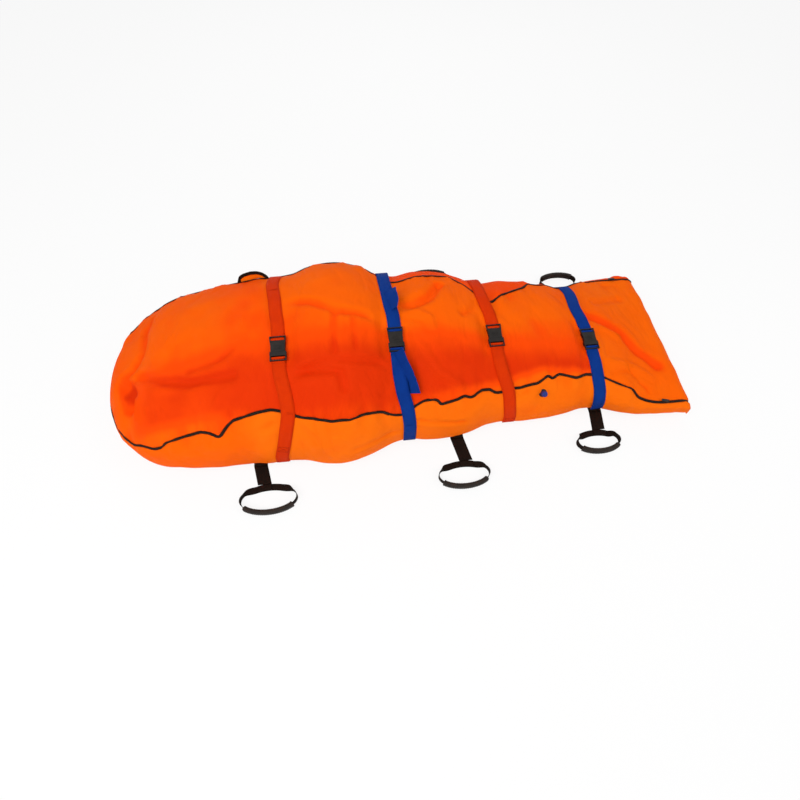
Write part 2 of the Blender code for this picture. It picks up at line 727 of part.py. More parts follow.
def tongue_mesh():
    """The tongue: a shoulder, a guide that enters the socket, and the strap's bars."""
    half = BUCKLE_WIDTH / 2
    middle = SOFT_GAP + BUCKLE_THICK / 2
    start = SOCKET_MOUTH - BUCKLE_WALL
    body = box((-half, -SOCKET_END, SOFT_GAP), (half, SOCKET_MOUTH - LAYER_GAP, SOFT_GAP + BUCKLE_THICK))
    guide = box((-GUIDE_HALF_WIDTH, start, middle - GUIDE_THICK / 2),
                (GUIDE_HALF_WIDTH, start + GUIDE_LENGTH, middle + GUIDE_THICK / 2))
    return carved("buckle_tongue", [body, guide] + buckle_frame(-1))


def prong_mesh():
    """A spring prong on the foot side, from its root, with a barb that catches the window."""
    barb = PRONG_BARB - PRONG_INNER
    rows = ((0.0, PRONG_WIDTH), (BARB_FROM[0], PRONG_WIDTH), (BARB_FROM[1], barb))
    rows += ((BARB_TO[0], barb), (BARB_TO[1], PRONG_WIDTH))
    rings = []
    for share, width in rows:
        v = PRONG_LENGTH * share
        left, right, thick = -PRONG_WIDTH / 2, width - PRONG_WIDTH / 2, PRONG_THICK / 2
        rings.append([(left, v, -thick), (right, v, -thick), (right, v, thick), (left, v, thick)])
    shape = lofted(rings)
    return as_mesh("prong", shape)


def build_buckles():
    """Socket, tongue and two prongs for each strap."""
    socket, tongue, prong = socket_mesh(), tongue_mesh(), prong_mesh()
    middle = SOFT_GAP + BUCKLE_THICK / 2
    root = PRONG_INNER + PRONG_WIDTH / 2
    for k, x in enumerate(STRAP_X):
        seat = BuckleSeat(x)
        add_object(f"buckle_socket_{k + 1}", socket, "black_plastic", seat.place())
        add_object(f"buckle_tongue_{k + 1}", tongue, "black_plastic", seat.place())
        turned_over = Matrix.Rotation(math.pi, 4, "Y")
        start = SOCKET_MOUTH - TOUCH_GAP
        add_object(f"prong_foot_{k + 1}", prong, "black_plastic", seat.place(root, start, middle))
        head_place = seat.place(-root, start, middle) @ turned_over
        add_object(f"prong_head_{k + 1}", prong, "black_plastic", head_place)


def web_end(k):
    """How far from the middle the carrying web ends."""
    return Section(WEB_X[k]).half_width - WEB_END_INSET


def build_webs():
    """The webbings under the bag."""
    for k, x in enumerate(WEB_X):
        shape = box((x - WEB_WIDTH / 2, -web_end(k), 0.0), (x + WEB_WIDTH / 2, web_end(k), WEB_THICK))
        add_object(f"carry_web_{k + 1}", as_mesh(f"carry_web_{k + 1}", shape), "black_webbing")


def patch_turns(k):
    """How far round the loop the drop's sewn end reaches, to one side and to the other."""
    reach = (WEB_WIDTH / 2 - LOOP_SHIFT[k], WEB_WIDTH / 2 + LOOP_SHIFT[k])
    return [math.asin(length / LOOP_HALF_WIDTH[k]) for length in reach]


def side_turns(start):
    """The turns of one side of the loop, from the sewn end to the grip."""
    step = (LOOP_TWIST_END - start) / 4
    turns = [start + LOOP_PATCH_STEP] + [start + step * j for j in range(1, 5)]
    return turns + list(LOOP_SIDE_TURNS)


def loop_frame(k, turn):
    """Middle, outward direction and twist of the loop's webbing at a turn from its top band."""
    half, depth = LOOP_HALF_WIDTH[k], LOOP_DEPTH[k] / 2
    p, q = half * math.sin(turn), depth * (1 - math.cos(turn))
    out = Vector((math.sin(turn) * depth, -math.cos(turn) * half, 0.0)).normalized()
    away = abs(math.atan2(math.sin(turn), math.cos(turn)))
    start = max(patch_turns(k))
    share = min(max((away - start) / (LOOP_TWIST_END - start), 0.0), 1.0)
    twist = math.pi / 2 * share * share * (3 - 2 * share)
    rise = (GRIP_HEIGHT - LOOP_WEB_WIDTH) / 2 * share
    middle = WEB_THICK / 2 * math.cos(twist) + LOOP_WEB_WIDTH / 2 * math.sin(twist) + rise
    first = LOOP_WEB_WIDTH / 2 + TOUCH_GAP
    return Vector((p + LOOP_SHIFT[k], q + first, middle - WEB_THICK)), out, twist


def loop_ring(k, turn, width, low, high):
    """Four corners of the webbing at a turn, with its thickness from low to high."""
    middle, out, twist = loop_frame(k, turn)
    up = Vector((0.0, 0.0, 1.0))
    wide = out * math.cos(twist) + up * math.sin(twist)
    thick = up * math.cos(twist) - out * math.sin(twist)
    half = width / 2
    return [middle + wide * half + thick * low, middle + wide * half + thick * high,
            middle - wide * half + thick * high, middle - wide * half + thick * low]


def loop_mesh(k):
    """The loop: a closed band of webbing, doubled where it is sewn to the drop."""
    right, left = patch_turns(k)
    middle = (right - left) / 2
    grip = [GRIP_TURN + (math.pi - GRIP_TURN) * share / 4 for share in range(9)]
    whole = [(turn, True) for turn in (-left, middle, right)]
    whole += [(turn, False) for turn in side_turns(right) + grip]
    whole += [(2 * math.pi - turn, False) for turn in reversed(side_turns(left))]
    rings = []
    for turn, doubled in whole:
        high = WEB_THICK / 2 + (WEB_THICK if doubled else 0.0)
        rings.append(loop_ring(k, turn, LOOP_WEB_WIDTH, -WEB_THICK / 2, high))
    shape = lofted(rings + rings[:1], end_faces=False)
    bmesh.ops.remove_doubles(shape, verts=shape.verts, dist=1e-6)
    return as_mesh(f"handle_loop_{k + 1}", shape)


def grip_mesh(k):
    """The grip: a thick tube over the lower side of the loop, with a slot for the webbing."""
    shape = bmesh.new()
    slots, skins = [], []
    for step in range(9):
        turn = GRIP_TURN + 2 * (math.pi - GRIP_TURN) * step / 8
        slot = WEB_THICK / 2 + TOUCH_GAP
        slots.append(loop_ring(k, turn, LOOP_WEB_WIDTH + 2 * TOUCH_GAP, -slot, slot))
        square = loop_ring(k, turn, GRIP_HEIGHT, -GRIP_THICK / 2, GRIP_THICK / 2)
        corners = []
        for a, b in zip(square, square[1:] + square[:1]):
            along = (b - a).normalized() * GRIP_CHAMFER
            corners += [a + along, b - along]
        skins.append(corners)
    rows = [[[shape.verts.new(point) for point in ring] for ring in rings] for rings in (slots, skins)]
    for rings in rows:
        for first, second in zip(rings, rings[1:]):
            for j in range(len(first)):
                after = (j + 1) % len(first)
                shape.faces.new((first[j], first[after], second[after], second[j]))
    for end in (0, -1):
        slot, skin_ring = rows[0][end], rows[1][end]
        for j in range(4):
            after = (j + 1) % 4
            shape.faces.new((slot[j], skin_ring[2 * j], skin_ring[2 * j + 1]))
            shape.faces.new((slot[j], skin_ring[2 * j + 1], slot[after]))
            shape.faces.new((slot[after], skin_ring[2 * j + 1], skin_ring[(2 * j + 2) % 8]))
    return as_mesh(f"handle_grip_{k + 1}", shape, smooth=True)


def build_handles():
    """A drop, a loop and a grip at each end of each carrying web."""
    for k, x in enumerate(WEB_X):
        half, sway, length = WEB_WIDTH / 2, DROP_SWAY[k], DROP_LENGTH[k]
        low = [(-half, TOUCH_GAP), (half, TOUCH_GAP), (half + sway, length), (sway - half, length)]
        shape = lofted([[(*corner, height) for corner in low] for height in (-WEB_THICK, 0.0)])
        drop = as_mesh(f"handle_drop_{k + 1}", shape)
        loop, grip = loop_mesh(k), grip_mesh(k)
        for side, word in ((-1, "near"), (1, "far")):
            turn = Matrix.Rotation(math.pi if side < 0 else 0.0, 4, "Z")
            hinge = Matrix.Translation((x, side * web_end(k), WEB_THICK)) @ turn
            fold = hinge @ Matrix.Translation((sway, length, 0.0))
            add_object(f"handle_drop_{word}_{k + 1}", drop, "black_webbing", hinge)
            add_object(f"handle_loop_{word}_{k + 1}", loop, "black_webbing", fold)
            add_object(f"handle_grip_{word}_{k + 1}", grip, "rubber", fold)


def valve_place():
    """World matrix of the valve: local Z is its axis, pointing out of the bag."""
    section = Section(VALVE_X)
    base = section.base_outline()
    low, high = base[1], base[0]
    y, z = towards(low, high, math.dist(low, high) * VALVE_SEAT_SHARE)
    along = ((high[0] - low[0]), (high[1] - low[1]))
    length = math.hypot(*along)
    normal = Vector((0.0, -along[1] / length, along[0] / length))
    across = Vector((1.0, 0.0, 0.0))
    third = normal.cross(across)
    turn = Matrix((across, third, normal)).transposed()
    return Matrix.Translation((VALVE_X, y, z)) @ turn.to_4x4()


def build_mattress(places, base):
    """The bead core, its airtight envelope and the holes for the valve."""
    start = HEAD_END + HEAD_ROUND_LENGTH * MATTRESS_HEAD_STEP
    end = FOOT_END - FOOT_ROUND_LENGTH
    inside = [section for section in places if start - TOUCH_GAP < section.x < end + TOUCH_GAP]
    outside_gap = BASE_WALL + MATTRESS_GAP
    lofts = {}
    for word, wall in (("envelope", 0.0), ("cavity", ENVELOPE_WALL), ("beads", ENVELOPE_WALL + BEAD_GAP)):
        rings = [section.mattress_ring(outside_gap + wall, outside_gap + MATTRESS_THICK - wall, wall)
                 for section in inside]
        rings[0] = drawn_in(rings[0], rings[1], wall)
        rings[-1] = drawn_in(rings[-1], rings[-2], wall)
        lofts[word] = as_mesh("mattress_" + word, lofted(rings, split=True))
    envelope = add_object("mattress_envelope", lofts["envelope"], "envelope_film")
    beads = add_object("mattress_beads", lofts["beads"], "beads")
    cavity = add_object("cavity_cutter", lofts["cavity"], "envelope_film")
    place = valve_place()
    bore = turned(((0.0, WEB_THICK), (VALVE_NECK_RADIUS + TOUCH_GAP, WEB_THICK),
                   (VALVE_NECK_RADIUS + TOUCH_GAP, -outside_gap - 2 * ENVELOPE_WALL),
                   (0.0, -outside_gap - 2 * ENVELOPE_WALL)), closed=False)
    bore_cutter = add_object("bore_cutter", as_mesh("bore_cutter", bore), "metal", place)
    depth = outside_gap + ENVELOPE_WALL + 2 * TOUCH_GAP + VALVE_FLANGE_THICK
    depth += POPPET_THICK + STEM_TRAVEL + WEB_THICK
    recess = turned(((0.0, -BASE_WALL), (VALVE_FLANGE_RADIUS + BEAD_GAP, -BASE_WALL),
                     (VALVE_FLANGE_RADIUS + BEAD_GAP, -depth), (0.0, -depth)), closed=False)
    recess_cutter = add_object("recess_cutter", as_mesh("recess_cutter", recess), "metal", place)
    add_cut(envelope, cavity)
    add_cut(envelope, bore_cutter)
    add_cut(base, bore_cutter)
    add_cut(beads, recess_cutter)


def build_valve():
    """The valve's body, its spring-loaded stem and its cap."""
    place = valve_place()
    flange_top = -(BASE_WALL + MATTRESS_GAP + ENVELOPE_WALL + TOUCH_GAP)
    flange_low = flange_top - VALVE_FLANGE_THICK
    collar_top = TOUCH_GAP + VALVE_COLLAR_THICK
    body = turned(((VALVE_BORE_RADIUS, flange_low), (VALVE_FLANGE_RADIUS, flange_low),
                   (VALVE_FLANGE_RADIUS, flange_top), (VALVE_NECK_RADIUS, flange_top),
                   (VALVE_NECK_RADIUS, TOUCH_GAP), (VALVE_COLLAR_RADIUS, TOUCH_GAP),
                   (VALVE_COLLAR_RADIUS, collar_top), (VALVE_NOZZLE_RADIUS, collar_top),
                   (VALVE_NOZZLE_RADIUS, VALVE_NOZZLE_LENGTH), (VALVE_BORE_RADIUS, VALVE_NOZZLE_LENGTH)),
                  closed=True)
    add_object("valve_body", as_mesh("valve_body", body, smooth=True), "black_plastic", place)
    poppet_top = flange_low - TOUCH_GAP
    button_top = VALVE_NOZZLE_LENGTH - STEM_BUTTON_THICK
    stem = turned(((0.0, poppet_top - POPPET_THICK), (POPPET_RADIUS, poppet_top - POPPET_THICK),
                   (POPPET_RADIUS, poppet_top), (STEM_RADIUS, poppet_top),
                   (STEM_RADIUS, button_top - STEM_BUTTON_THICK),
                   (STEM_BUTTON_RADIUS, button_top - STEM_BUTTON_THICK),
                   (STEM_BUTTON_RADIUS, button_top), (0.0, button_top)), closed=False, sides=SMALL_SIDES)
    add_object("valve_stem", as_mesh("valve_stem", stem, smooth=True), "metal", place)
    inside = VALVE_NOZZLE_RADIUS + TOUCH_GAP
    roof = VALVE_NOZZLE_LENGTH + TOUCH_GAP
    cap = turned(((0.0, roof + CAP_WALL), (inside + CAP_WALL, roof + CAP_WALL),
                  (inside + CAP_WALL, roof - CAP_SKIRT), (inside, roof - CAP_SKIRT),
                  (inside, roof), (0.0, roof)), closed=False)
    add_object("valve_cap", as_mesh("valve_cap", cap, smooth=True), "blue_plastic", place)


def slider_place(side, places):
    """World matrix of a zip slider: local X along the zip to the feet, local Z off the bag."""
    run_start, run_end = slider_run()
    middle = FOOT_END - SLIDER_FROM_FOOT
    ends = [next(s for s in places if abs(s.x - x) < 1e-6) for x in (run_start, run_end)]
    k = 0 if side < 0 else -1
    rims, normals = [], []
    for section in ends:
        base, crown = section.base_outline(), section.crown_points()
        below, above = (base[1], crown[-2]) if side < 0 else (base[-2], crown[1])
        rims.append(Vector((section.x, *base[k])))
        across = Vector((0.0, above[0] - below[0], above[1] - below[1])).normalized()
        normals.append(Vector((0.0, across.z, -across.y)) * side)
    share = (middle - run_start) / (run_end - run_start)
    along = (rims[1] - rims[0]).normalized()
    out = normals[0].lerp(normals[1], share)
    out = (out - along * out.dot(along)).normalized()
    across = out.cross(along)
    turn = Matrix((along, across, out)).transposed()
    origin = rims[0].lerp(rims[1], share)
    return Matrix.Translation(origin) @ turn.to_4x4()


def build_sliders(places):
    """The two zip sliders near the foot end and their pull tabs."""
    low = ZIP_TAPE_GAP + ZIP_TAPE_THICK + SOFT_GAP
    high = low + SLIDER_THICK
    pin = (SLIDER_LENGTH / 2 - LUG_LENGTH / 2, high + PIN_HEIGHT)
    barrel_half = PULL_WIDTH / 2 - LUG_THICK - TOUCH_GAP
    body = box((-SLIDER_LENGTH / 2, -SLIDER_WIDTH / 2, low), (SLIDER_LENGTH / 2, SLIDER_WIDTH / 2, high))
    lugs = []
    for edge in (-1, 1):
        across = sorted((edge * (barrel_half + TOUCH_GAP), edge * (barrel_half + TOUCH_GAP + LUG_THICK)))
        lugs.append(box((SLIDER_LENGTH / 2 - LUG_LENGTH, across[0], high - LUG_THICK),
                        (SLIDER_LENGTH / 2 - TOUCH_GAP, across[1], pin[1] + PULL_BARREL_RADIUS)))
    slider = carved("zip_slider", [body] + lugs + [rod(PIN_RADIUS, barrel_half + LUG_THICK, *pin)])
    half, thick = PULL_WIDTH / 2, PULL_THICK / 2
    tab = box((-PULL_LENGTH, -half, -thick), (-LUG_LENGTH, half, thick))
    neck = box((-LUG_LENGTH - PULL_THICK, -barrel_half + TOUCH_GAP, -PULL_THICK / 2 + TOUCH_GAP),
               (0.0, barrel_half - TOUCH_GAP, PULL_THICK / 2 - TOUCH_GAP))
    barrel = rod(PULL_BARREL_RADIUS, barrel_half)
    pull = carved("zip_pull", [tab, neck, barrel], [rod(PIN_RADIUS + TOUCH_GAP, PULL_WIDTH)])
    for side, word in ((-1, "near"), (1, "far")):
        place = slider_place(side, places)
        add_object(f"zip_slider_{word}", slider, "metal", place)
        hinge = place @ Matrix.Translation((pin[0], 0.0, pin[1]))
        add_object(f"zip_pull_{word}", pull, "metal", hinge)


def main():
    """Build the whole stretcher."""
    clear_scene()
    places = [Section(x) for x in stations()]
    base = build_bag(places)
    build_zip_tapes(places)
    build_mattress(places, base)
    build_valve()
    build_straps()
    build_buckles()
    build_webs()
    build_handles()
    build_sliders(places)


main()
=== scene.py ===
"""Vacuum stretcher in its zipped carrying bag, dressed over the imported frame.

Metres, +Z up, +X towards the feet, -Y the near side. The origin is on the floor under the middle.
"""
from __future__ import annotations

import itertools
import logging
import math
from dataclasses import dataclass, field
from enum import Enum
from typing import Callable, Sequence

import bmesh
import bpy
import numpy as np
from mathutils import Matrix, Vector, noise
from mathutils.bvhtree import BVHTree


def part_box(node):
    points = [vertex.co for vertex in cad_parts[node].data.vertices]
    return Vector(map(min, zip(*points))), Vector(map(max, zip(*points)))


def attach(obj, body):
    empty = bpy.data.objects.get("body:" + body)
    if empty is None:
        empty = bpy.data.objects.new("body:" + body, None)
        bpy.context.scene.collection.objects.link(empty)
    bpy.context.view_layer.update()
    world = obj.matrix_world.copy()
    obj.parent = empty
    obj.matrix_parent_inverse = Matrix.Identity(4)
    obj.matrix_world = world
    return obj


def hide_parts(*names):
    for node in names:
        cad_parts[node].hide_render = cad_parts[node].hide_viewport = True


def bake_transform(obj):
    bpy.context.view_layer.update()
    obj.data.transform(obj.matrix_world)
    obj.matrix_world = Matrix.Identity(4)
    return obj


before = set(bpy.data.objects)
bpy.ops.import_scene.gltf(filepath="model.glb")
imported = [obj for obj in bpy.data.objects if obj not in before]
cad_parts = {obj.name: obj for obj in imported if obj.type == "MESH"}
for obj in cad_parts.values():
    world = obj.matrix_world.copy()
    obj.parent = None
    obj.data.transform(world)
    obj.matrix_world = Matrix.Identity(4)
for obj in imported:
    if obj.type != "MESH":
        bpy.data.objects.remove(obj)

Colour = tuple[float, float, float]
Place3 = tuple[float, float, float]
log = logging.getLogger("stretcher")

# The bag: place along it, half width, crown height, and the zip's place as a share of the half width
BAG_ROWS = (
    (-1.090, 0.320, 0.220, 0.860, 0.810),
    (-0.970, 0.336, 0.233, 0.950, 0.820),
    (-0.850, 0.358, 0.288, 0.920, 0.850),
    (-0.690, 0.376, 0.331, 0.870, 0.860),
    (-0.550, 0.375, 0.375, 0.800, 0.740),
    (-0.390, 0.392, 0.404, 0.810, 0.770),
    (-0.220, 0.404, 0.430, 0.860, 0.780),
    (-0.030, 0.350, 0.386, 0.900, 0.520),
    (0.150, 0.345, 0.367, 0.850, 0.600),
    (0.330, 0.315, 0.312, 0.820, 0.280),
    (0.510, 0.305, 0.274, 0.730, 0.620),
    (0.710, 0.290, 0.228, 0.730, 0.840),
    (0.890, 0.324, 0.152, 0.930, 0.920),
    (1.030, 0.336, 0.118, 0.930, 0.920),
)
# The zip's puckered line on each side: place along the bag and distance from its middle
NEAR_ZIP = (
    (-0.970, 0.280), (-0.955, 0.292), (-0.932, 0.307), (-0.875, 0.333), (-0.845, 0.333), (-0.832, 0.326),
    (-0.772, 0.322), (-0.702, 0.318), (-0.670, 0.327), (-0.643, 0.339), (-0.632, 0.331), (-0.615, 0.319),
    (-0.592, 0.306), (-0.509, 0.297), (-0.460, 0.291), (-0.429, 0.299), (-0.353, 0.328), (-0.313, 0.340),
    (-0.267, 0.351), (-0.207, 0.350), (-0.153, 0.334), (-0.099, 0.320), (-0.058, 0.317), (-0.024, 0.314),
    (0.011, 0.300), (0.045, 0.292), (0.093, 0.294), (0.102, 0.306), (0.134, 0.301), (0.161, 0.296),
    (0.188, 0.286), (0.215, 0.289), (0.255, 0.265), (0.288, 0.257), (0.308, 0.264), (0.334, 0.261),
    (0.379, 0.252), (0.398, 0.254), (0.467, 0.244), (0.510, 0.220), (0.522, 0.232), (0.552, 0.216),
    (0.621, 0.227), (0.665, 0.210), (0.713, 0.209), (0.749, 0.223), (0.787, 0.242), (0.829, 0.258),
    (0.871, 0.261), (0.879, 0.289), (0.895, 0.310), (0.950, 0.318), (1.043, 0.314),
)
FAR_ZIP = (
    (-1.070, 0.114), (-0.980, 0.242), (-0.850, 0.300), (-0.700, 0.318), (-0.560, 0.290), (-0.420, 0.288),
    (-0.280, 0.311), (-0.200, 0.315), (-0.126, 0.295), (-0.092, 0.250), (-0.024, 0.166), (0.100, 0.198),
    (0.200, 0.208), (0.255, 0.164), (0.295, 0.127), (0.312, 0.083), (0.353, 0.082), (0.400, 0.120),
    (0.449, 0.147), (0.510, 0.181), (0.546, 0.219), (0.580, 0.214), (0.620, 0.227), (0.680, 0.222),
    (0.744, 0.262), (0.792, 0.292), (0.860, 0.288), (0.946, 0.312), (1.043, 0.320),
)
# Edges of the deeper coloured middle panel of the cover: place along the bag and Y
PANEL_FAR = (
    (-1.10, 0.45), (-0.55, 0.40), (-0.45, 0.095), (-0.38, 0.071), (-0.30, 0.035), (-0.22, -0.014),
    (-0.126, -0.035), (-0.037, -0.047), (0.28, -0.037), (0.36, -0.026), (0.486, 0.0), (0.63, 0.024),
    (0.70, 0.03),
)
PANEL_NEAR = (
    (-1.10, -0.24), (-0.90, -0.262), (-0.70, -0.285), (-0.45, -0.300), (-0.273, -0.318), (-0.106, -0.303),
    (0.03, -0.280), (0.10, -0.277), (0.21, -0.266), (0.275, -0.245), (0.44, -0.212), (0.50, -0.196),
    (0.68, -0.200),
)
HEAD_END = -1.0866
FOOT_END = 1.088
LIFT = 0.0026
EQUATOR = 0.090
POWER = 2.2

STRAP_X = (-0.420, -0.030, 0.330, 0.710)
STRAP_WIDTH = 0.045
WEB_X = (-0.558, 0.183, 0.750)
X_AXIS = Vector((1.0, 0.0, 0.0))
Z_AXIS = Vector((0.0, 0.0, 1.0))
WHITE = (1.0, 1.0, 1.0, 1.0)


class Part(Enum):
    """The two halves of the bag on either side of the zip."""

    COVER = 0
    BASE = 1


class Weave(Enum):
    """How a woven finish is laid: threads per metre across and along."""

    FINE = (1400.0, 1400.0)
    WEBBING = (620.0, 900.0)
    TAPE = (1500.0, 2200.0)


# Material tools


class Graph:
    """Adds nodes to one tree and links them."""

    def __init__(self, tree: bpy.types.NodeTree) -> None:
        """Keep the tree to work on."""
        self.tree = tree

    def add(self, kind: str, values: dict[str, object] | None = None, **settings: object) -> bpy.types.Node:
        """Add one node.

        Args:
            kind: The node's type without its ShaderNode prefix.
            values: Values for input sockets, by name or number.
            settings: Properties of the node itself.

        Returns:
            The new node.
        """
        node = self.tree.nodes.new("ShaderNode" + kind)
        for name, value in settings.items():
            setattr(node, name, value)
        for name, value in (values or {}).items():
            node.inputs[name].default_value = value
        return node

    def link(self, source: bpy.types.NodeSocket, target: bpy.types.NodeSocket) -> None:
        """Link one socket to another."""
        self.tree.links.new(source, target)

    def math(self, operation: str, first: object, second: object = None, clamp: bool = False) -> bpy.types.NodeSocket:
        """Add a Math node fed by sockets or numbers.

        Args:
            operation: Name of the operation.
            first: A socket or a number.
            second: A socket, a number or nothing.
            clamp: Whether the result is kept from 0 to 1.

        Returns:
            The output socket.
        """
        node = self.add("Math", operation=operation, use_clamp=clamp)
        for slot, value in enumerate((first, second)):
            if isinstance(value, bpy.types.NodeSocket):
                self.link(value, node.inputs[slot])
            elif value is not None:
                node.inputs[slot].default_value = value
        return node.outputs[0]

    def mix(self, share: bpy.types.NodeSocket, first: bpy.types.Node, second: bpy.types.Node, output: str) -> None:
        """Mix two shaders into an output.

        Args:
            share: How much of the second shows.
            first: The first shader.
            second: The second shader.
            output: Name of the tree's output node.
        """
        node = self.add("MixShader")
        for slot, socket in enumerate((share, first.outputs[0], second.outputs[0])):
            self.link(socket, node.inputs[slot])
        self.link(node.outputs[0], self.tree.nodes[output].inputs["Surface"])


def shared_group(name: str, inputs: Sequence[tuple[str, str]], outputs: Sequence[tuple[str, str]],
                 fill: Callable[[Graph, bpy.types.Node, bpy.types.Node], None]) -> bpy.types.NodeTree:
    """A node group, made once and used by several finishes.

    Args:
        name: The group's name.
        inputs: Name and socket type of each input.
        outputs: Name and socket type of each output.
        fill: Puts the group's nodes between its input and output nodes.

    Returns:
        The group.
    """
    found = bpy.data.node_groups.get(name)
    if found:
        return found
    tree = bpy.data.node_groups.new(name, "ShaderNodeTree")
    for label, kind in inputs:
        tree.interface.new_socket(name=label, in_out="INPUT", socket_type=kind)
    for label, kind in outputs:
        tree.interface.new_socket(name=label, in_out="OUTPUT", socket_type=kind)
    graph = Graph(tree)
    fill(graph, tree.nodes.new("NodeGroupInput"), tree.nodes.new("NodeGroupOutput"))
    return tree


def weave_group() -> bpy.types.NodeTree:
    """A plain weave: threads that pass over and under each other, as a height.

    Returns:
        The group.
    """

    def fill(graph: Graph, entry: bpy.types.Node, leave: bpy.types.Node) -> None:
        """Put the weave's nodes in the group.

        Args:
            graph: The group's graph.
            entry: Its input node.
            leave: Its output node.
        """
        split = graph.add("SeparateXYZ")
        graph.link(entry.outputs["Place"], split.inputs[0])
        across = graph.math("MULTIPLY", split.outputs[0], entry.outputs["Across"])
        along = graph.math("MULTIPLY", split.outputs[1], entry.outputs["Along"])
        warp = graph.math("ABSOLUTE", graph.math("SINE", graph.math("MULTIPLY", across, math.pi)))
        weft = graph.math("ABSOLUTE", graph.math("SINE", graph.math("MULTIPLY", along, math.pi)))
        odd = graph.math("ADD", graph.math("FLOOR", across), graph.math("FLOOR", along))
        over = graph.math("ABSOLUTE", graph.math("MODULO", odd, 2.0))
        first = graph.math("MULTIPLY", warp, over)
        second = graph.math("MULTIPLY", weft, graph.math("SUBTRACT", 1.0, over))
        graph.link(graph.math("ADD", first, second), leave.inputs["Height"])

    return shared_group("weave", (("Place", "NodeSocketVector"), ("Across", "NodeSocketFloat"),
                                  ("Along", "NodeSocketFloat")), (("Height", "NodeSocketFloat"),), fill)


def crumple_group() -> bpy.types.NodeTree:
    """Small soft creases of handled cloth, as a height.

    Returns:
        The group.
    """

    def fill(graph: Graph, entry: bpy.types.Node, leave: bpy.types.Node) -> None:
        """Put the creases' nodes in the group.

        Args:
            graph: The group's graph.
            entry: Its input node.
            leave: Its output node.
        """
        stretch = graph.add("Mapping", {"Scale": (1.0, 0.55, 0.8), "Rotation": (0.0, 0.3, 0.35)})
        graph.link(entry.outputs["Place"], stretch.inputs["Vector"])
        broad = graph.add("TexNoise", {"Scale": 9.0, "Detail": 2.0, "Roughness": 0.45, "Distortion": 0.8})
        small = graph.add("TexNoise", {"Scale": 34.0, "Detail": 1.0, "Roughness": 0.4, "Distortion": 0.4})
        for node in (broad, small):
            graph.link(stretch.outputs[0], node.inputs["Vector"])
        ridge = graph.math("ABSOLUTE", graph.math("SUBTRACT", broad.outputs["Fac"], 0.5))
        lines = graph.math("POWER", graph.math("SUBTRACT", 1.0, graph.math("MULTIPLY", ridge, 2.5), clamp=True), 1.5)
        total = graph.math("ADD", graph.math("MULTIPLY", broad.outputs["Fac"], 1.0),
                           graph.math("MULTIPLY", small.outputs["Fac"], 0.20))
        graph.link(graph.math("ADD", total, graph.math("MULTIPLY", lines, 0.16)), leave.inputs["Height"])

    return shared_group("crumple", (("Place", "NodeSocketVector"),), (("Height", "NodeSocketFloat"),), fill)


def new_material(name: str) -> tuple[bpy.types.Material, Graph, bpy.types.Node]:
    """A material with only its shader and output.

    Args:
        name: The material's name.

    Returns:
        The material, its graph and its shader node.
    """
    made = bpy.data.materials.new(name)
    made.use_nodes = True
    graph = Graph(made.node_tree)
    return made, graph, made.node_tree.nodes["Principled BSDF"]


def set_roughness(graph: Graph, shader: bpy.types.Node, source: bpy.types.NodeSocket, low: float, high: float) -> None:
    """Let a shader's roughness follow a texture.

    Args:
        graph: The material's graph.
        shader: The shader that gets the roughness.
        source: The texture's socket.
        low: Roughness where the texture is 0.
        high: Roughness where it is 1.
    """
    rough = graph.add("MapRange", {"To Min": low, "To Max": high})
    graph.link(source, rough.inputs["Value"])
    graph.link(rough.outputs[0], shader.inputs["Roughness"])


def join_bumps(graph: Graph, shader: bpy.types.Node, heights: Sequence[tuple[bpy.types.NodeSocket, float]]) -> None:
    """Stack bumps of several heights on a shader.

    Args:
        graph: The material's graph.
        shader: The shader that gets the normal.
        heights: Each height's socket with its depth in metres.
    """
    before = None
    for socket, depth in heights:
        bump = graph.add("Bump", {"Strength": 1.0, "Distance": depth})
        graph.link(socket, bump.inputs["Height"])
        if before is not None:
            graph.link(before.outputs[0], bump.inputs["Normal"])
        before = bump
    graph.link(before.outputs[0], shader.inputs["Normal"])


@dataclass(frozen=True)
class BagFabric:
    """Coated polyester, its colour going from light to deep with the tone painted on the piece, which holds both the
    cover's deeper panel and painted shade.
    """

    name: str
    stops: tuple[tuple[float, Colour], ...]
    roughness: float = 0.62

    def material(self) -> bpy.types.Material:
        """The finished material.

        Returns:
            The material.
        """
        made, graph, shader = new_material(self.name)
        tone = graph.add("Attribute", attribute_name="tone")
        place = graph.add("TexCoord")
        cloud = graph.add("TexNoise", {"Scale": 5.0, "Detail": 3.0, "Roughness": 0.6})
        graph.link(place.outputs["Object"], cloud.inputs["Vector"])
        shift = graph.math("MULTIPLY", graph.math("SUBTRACT", cloud.outputs["Fac"], 0.5), 0.30)
        ramp = graph.add("ValToRGB")
        ramp.color_ramp.interpolation = "EASE"
        steps = ramp.color_ramp.elements
        while len(steps) < len(self.stops):
            steps.new(0.5)
        for step, (spot, colour) in zip(steps, self.stops):
            step.position = spot
            step.color = (*colour, 1.0)
        graph.link(graph.math("ADD", tone.outputs["Fac"], shift, clamp=True), ramp.inputs[0])
        graph.link(ramp.outputs[0], shader.inputs["Base Color"])
        low, high = self.roughness - 0.08, self.roughness + 0.10
        set_roughness(graph, shader, cloud.outputs["Fac"], low, high)
        weave = graph.add("Group", node_tree=weave_group())
        weave.inputs["Across"].default_value, weave.inputs["Along"].default_value = Weave.FINE.value
        flat = graph.add("UVMap", uv_map="flat")
        graph.link(flat.outputs[0], weave.inputs["Place"])
        crumple = graph.add("Group", node_tree=crumple_group())
        graph.link(place.outputs["Object"], crumple.inputs["Place"])
        join_bumps(graph, shader, ((crumple.outputs[0], 0.010), (weave.outputs[0], 0.00012)))
        shader.inputs["Specular IOR Level"].default_value = 0.03
        return made


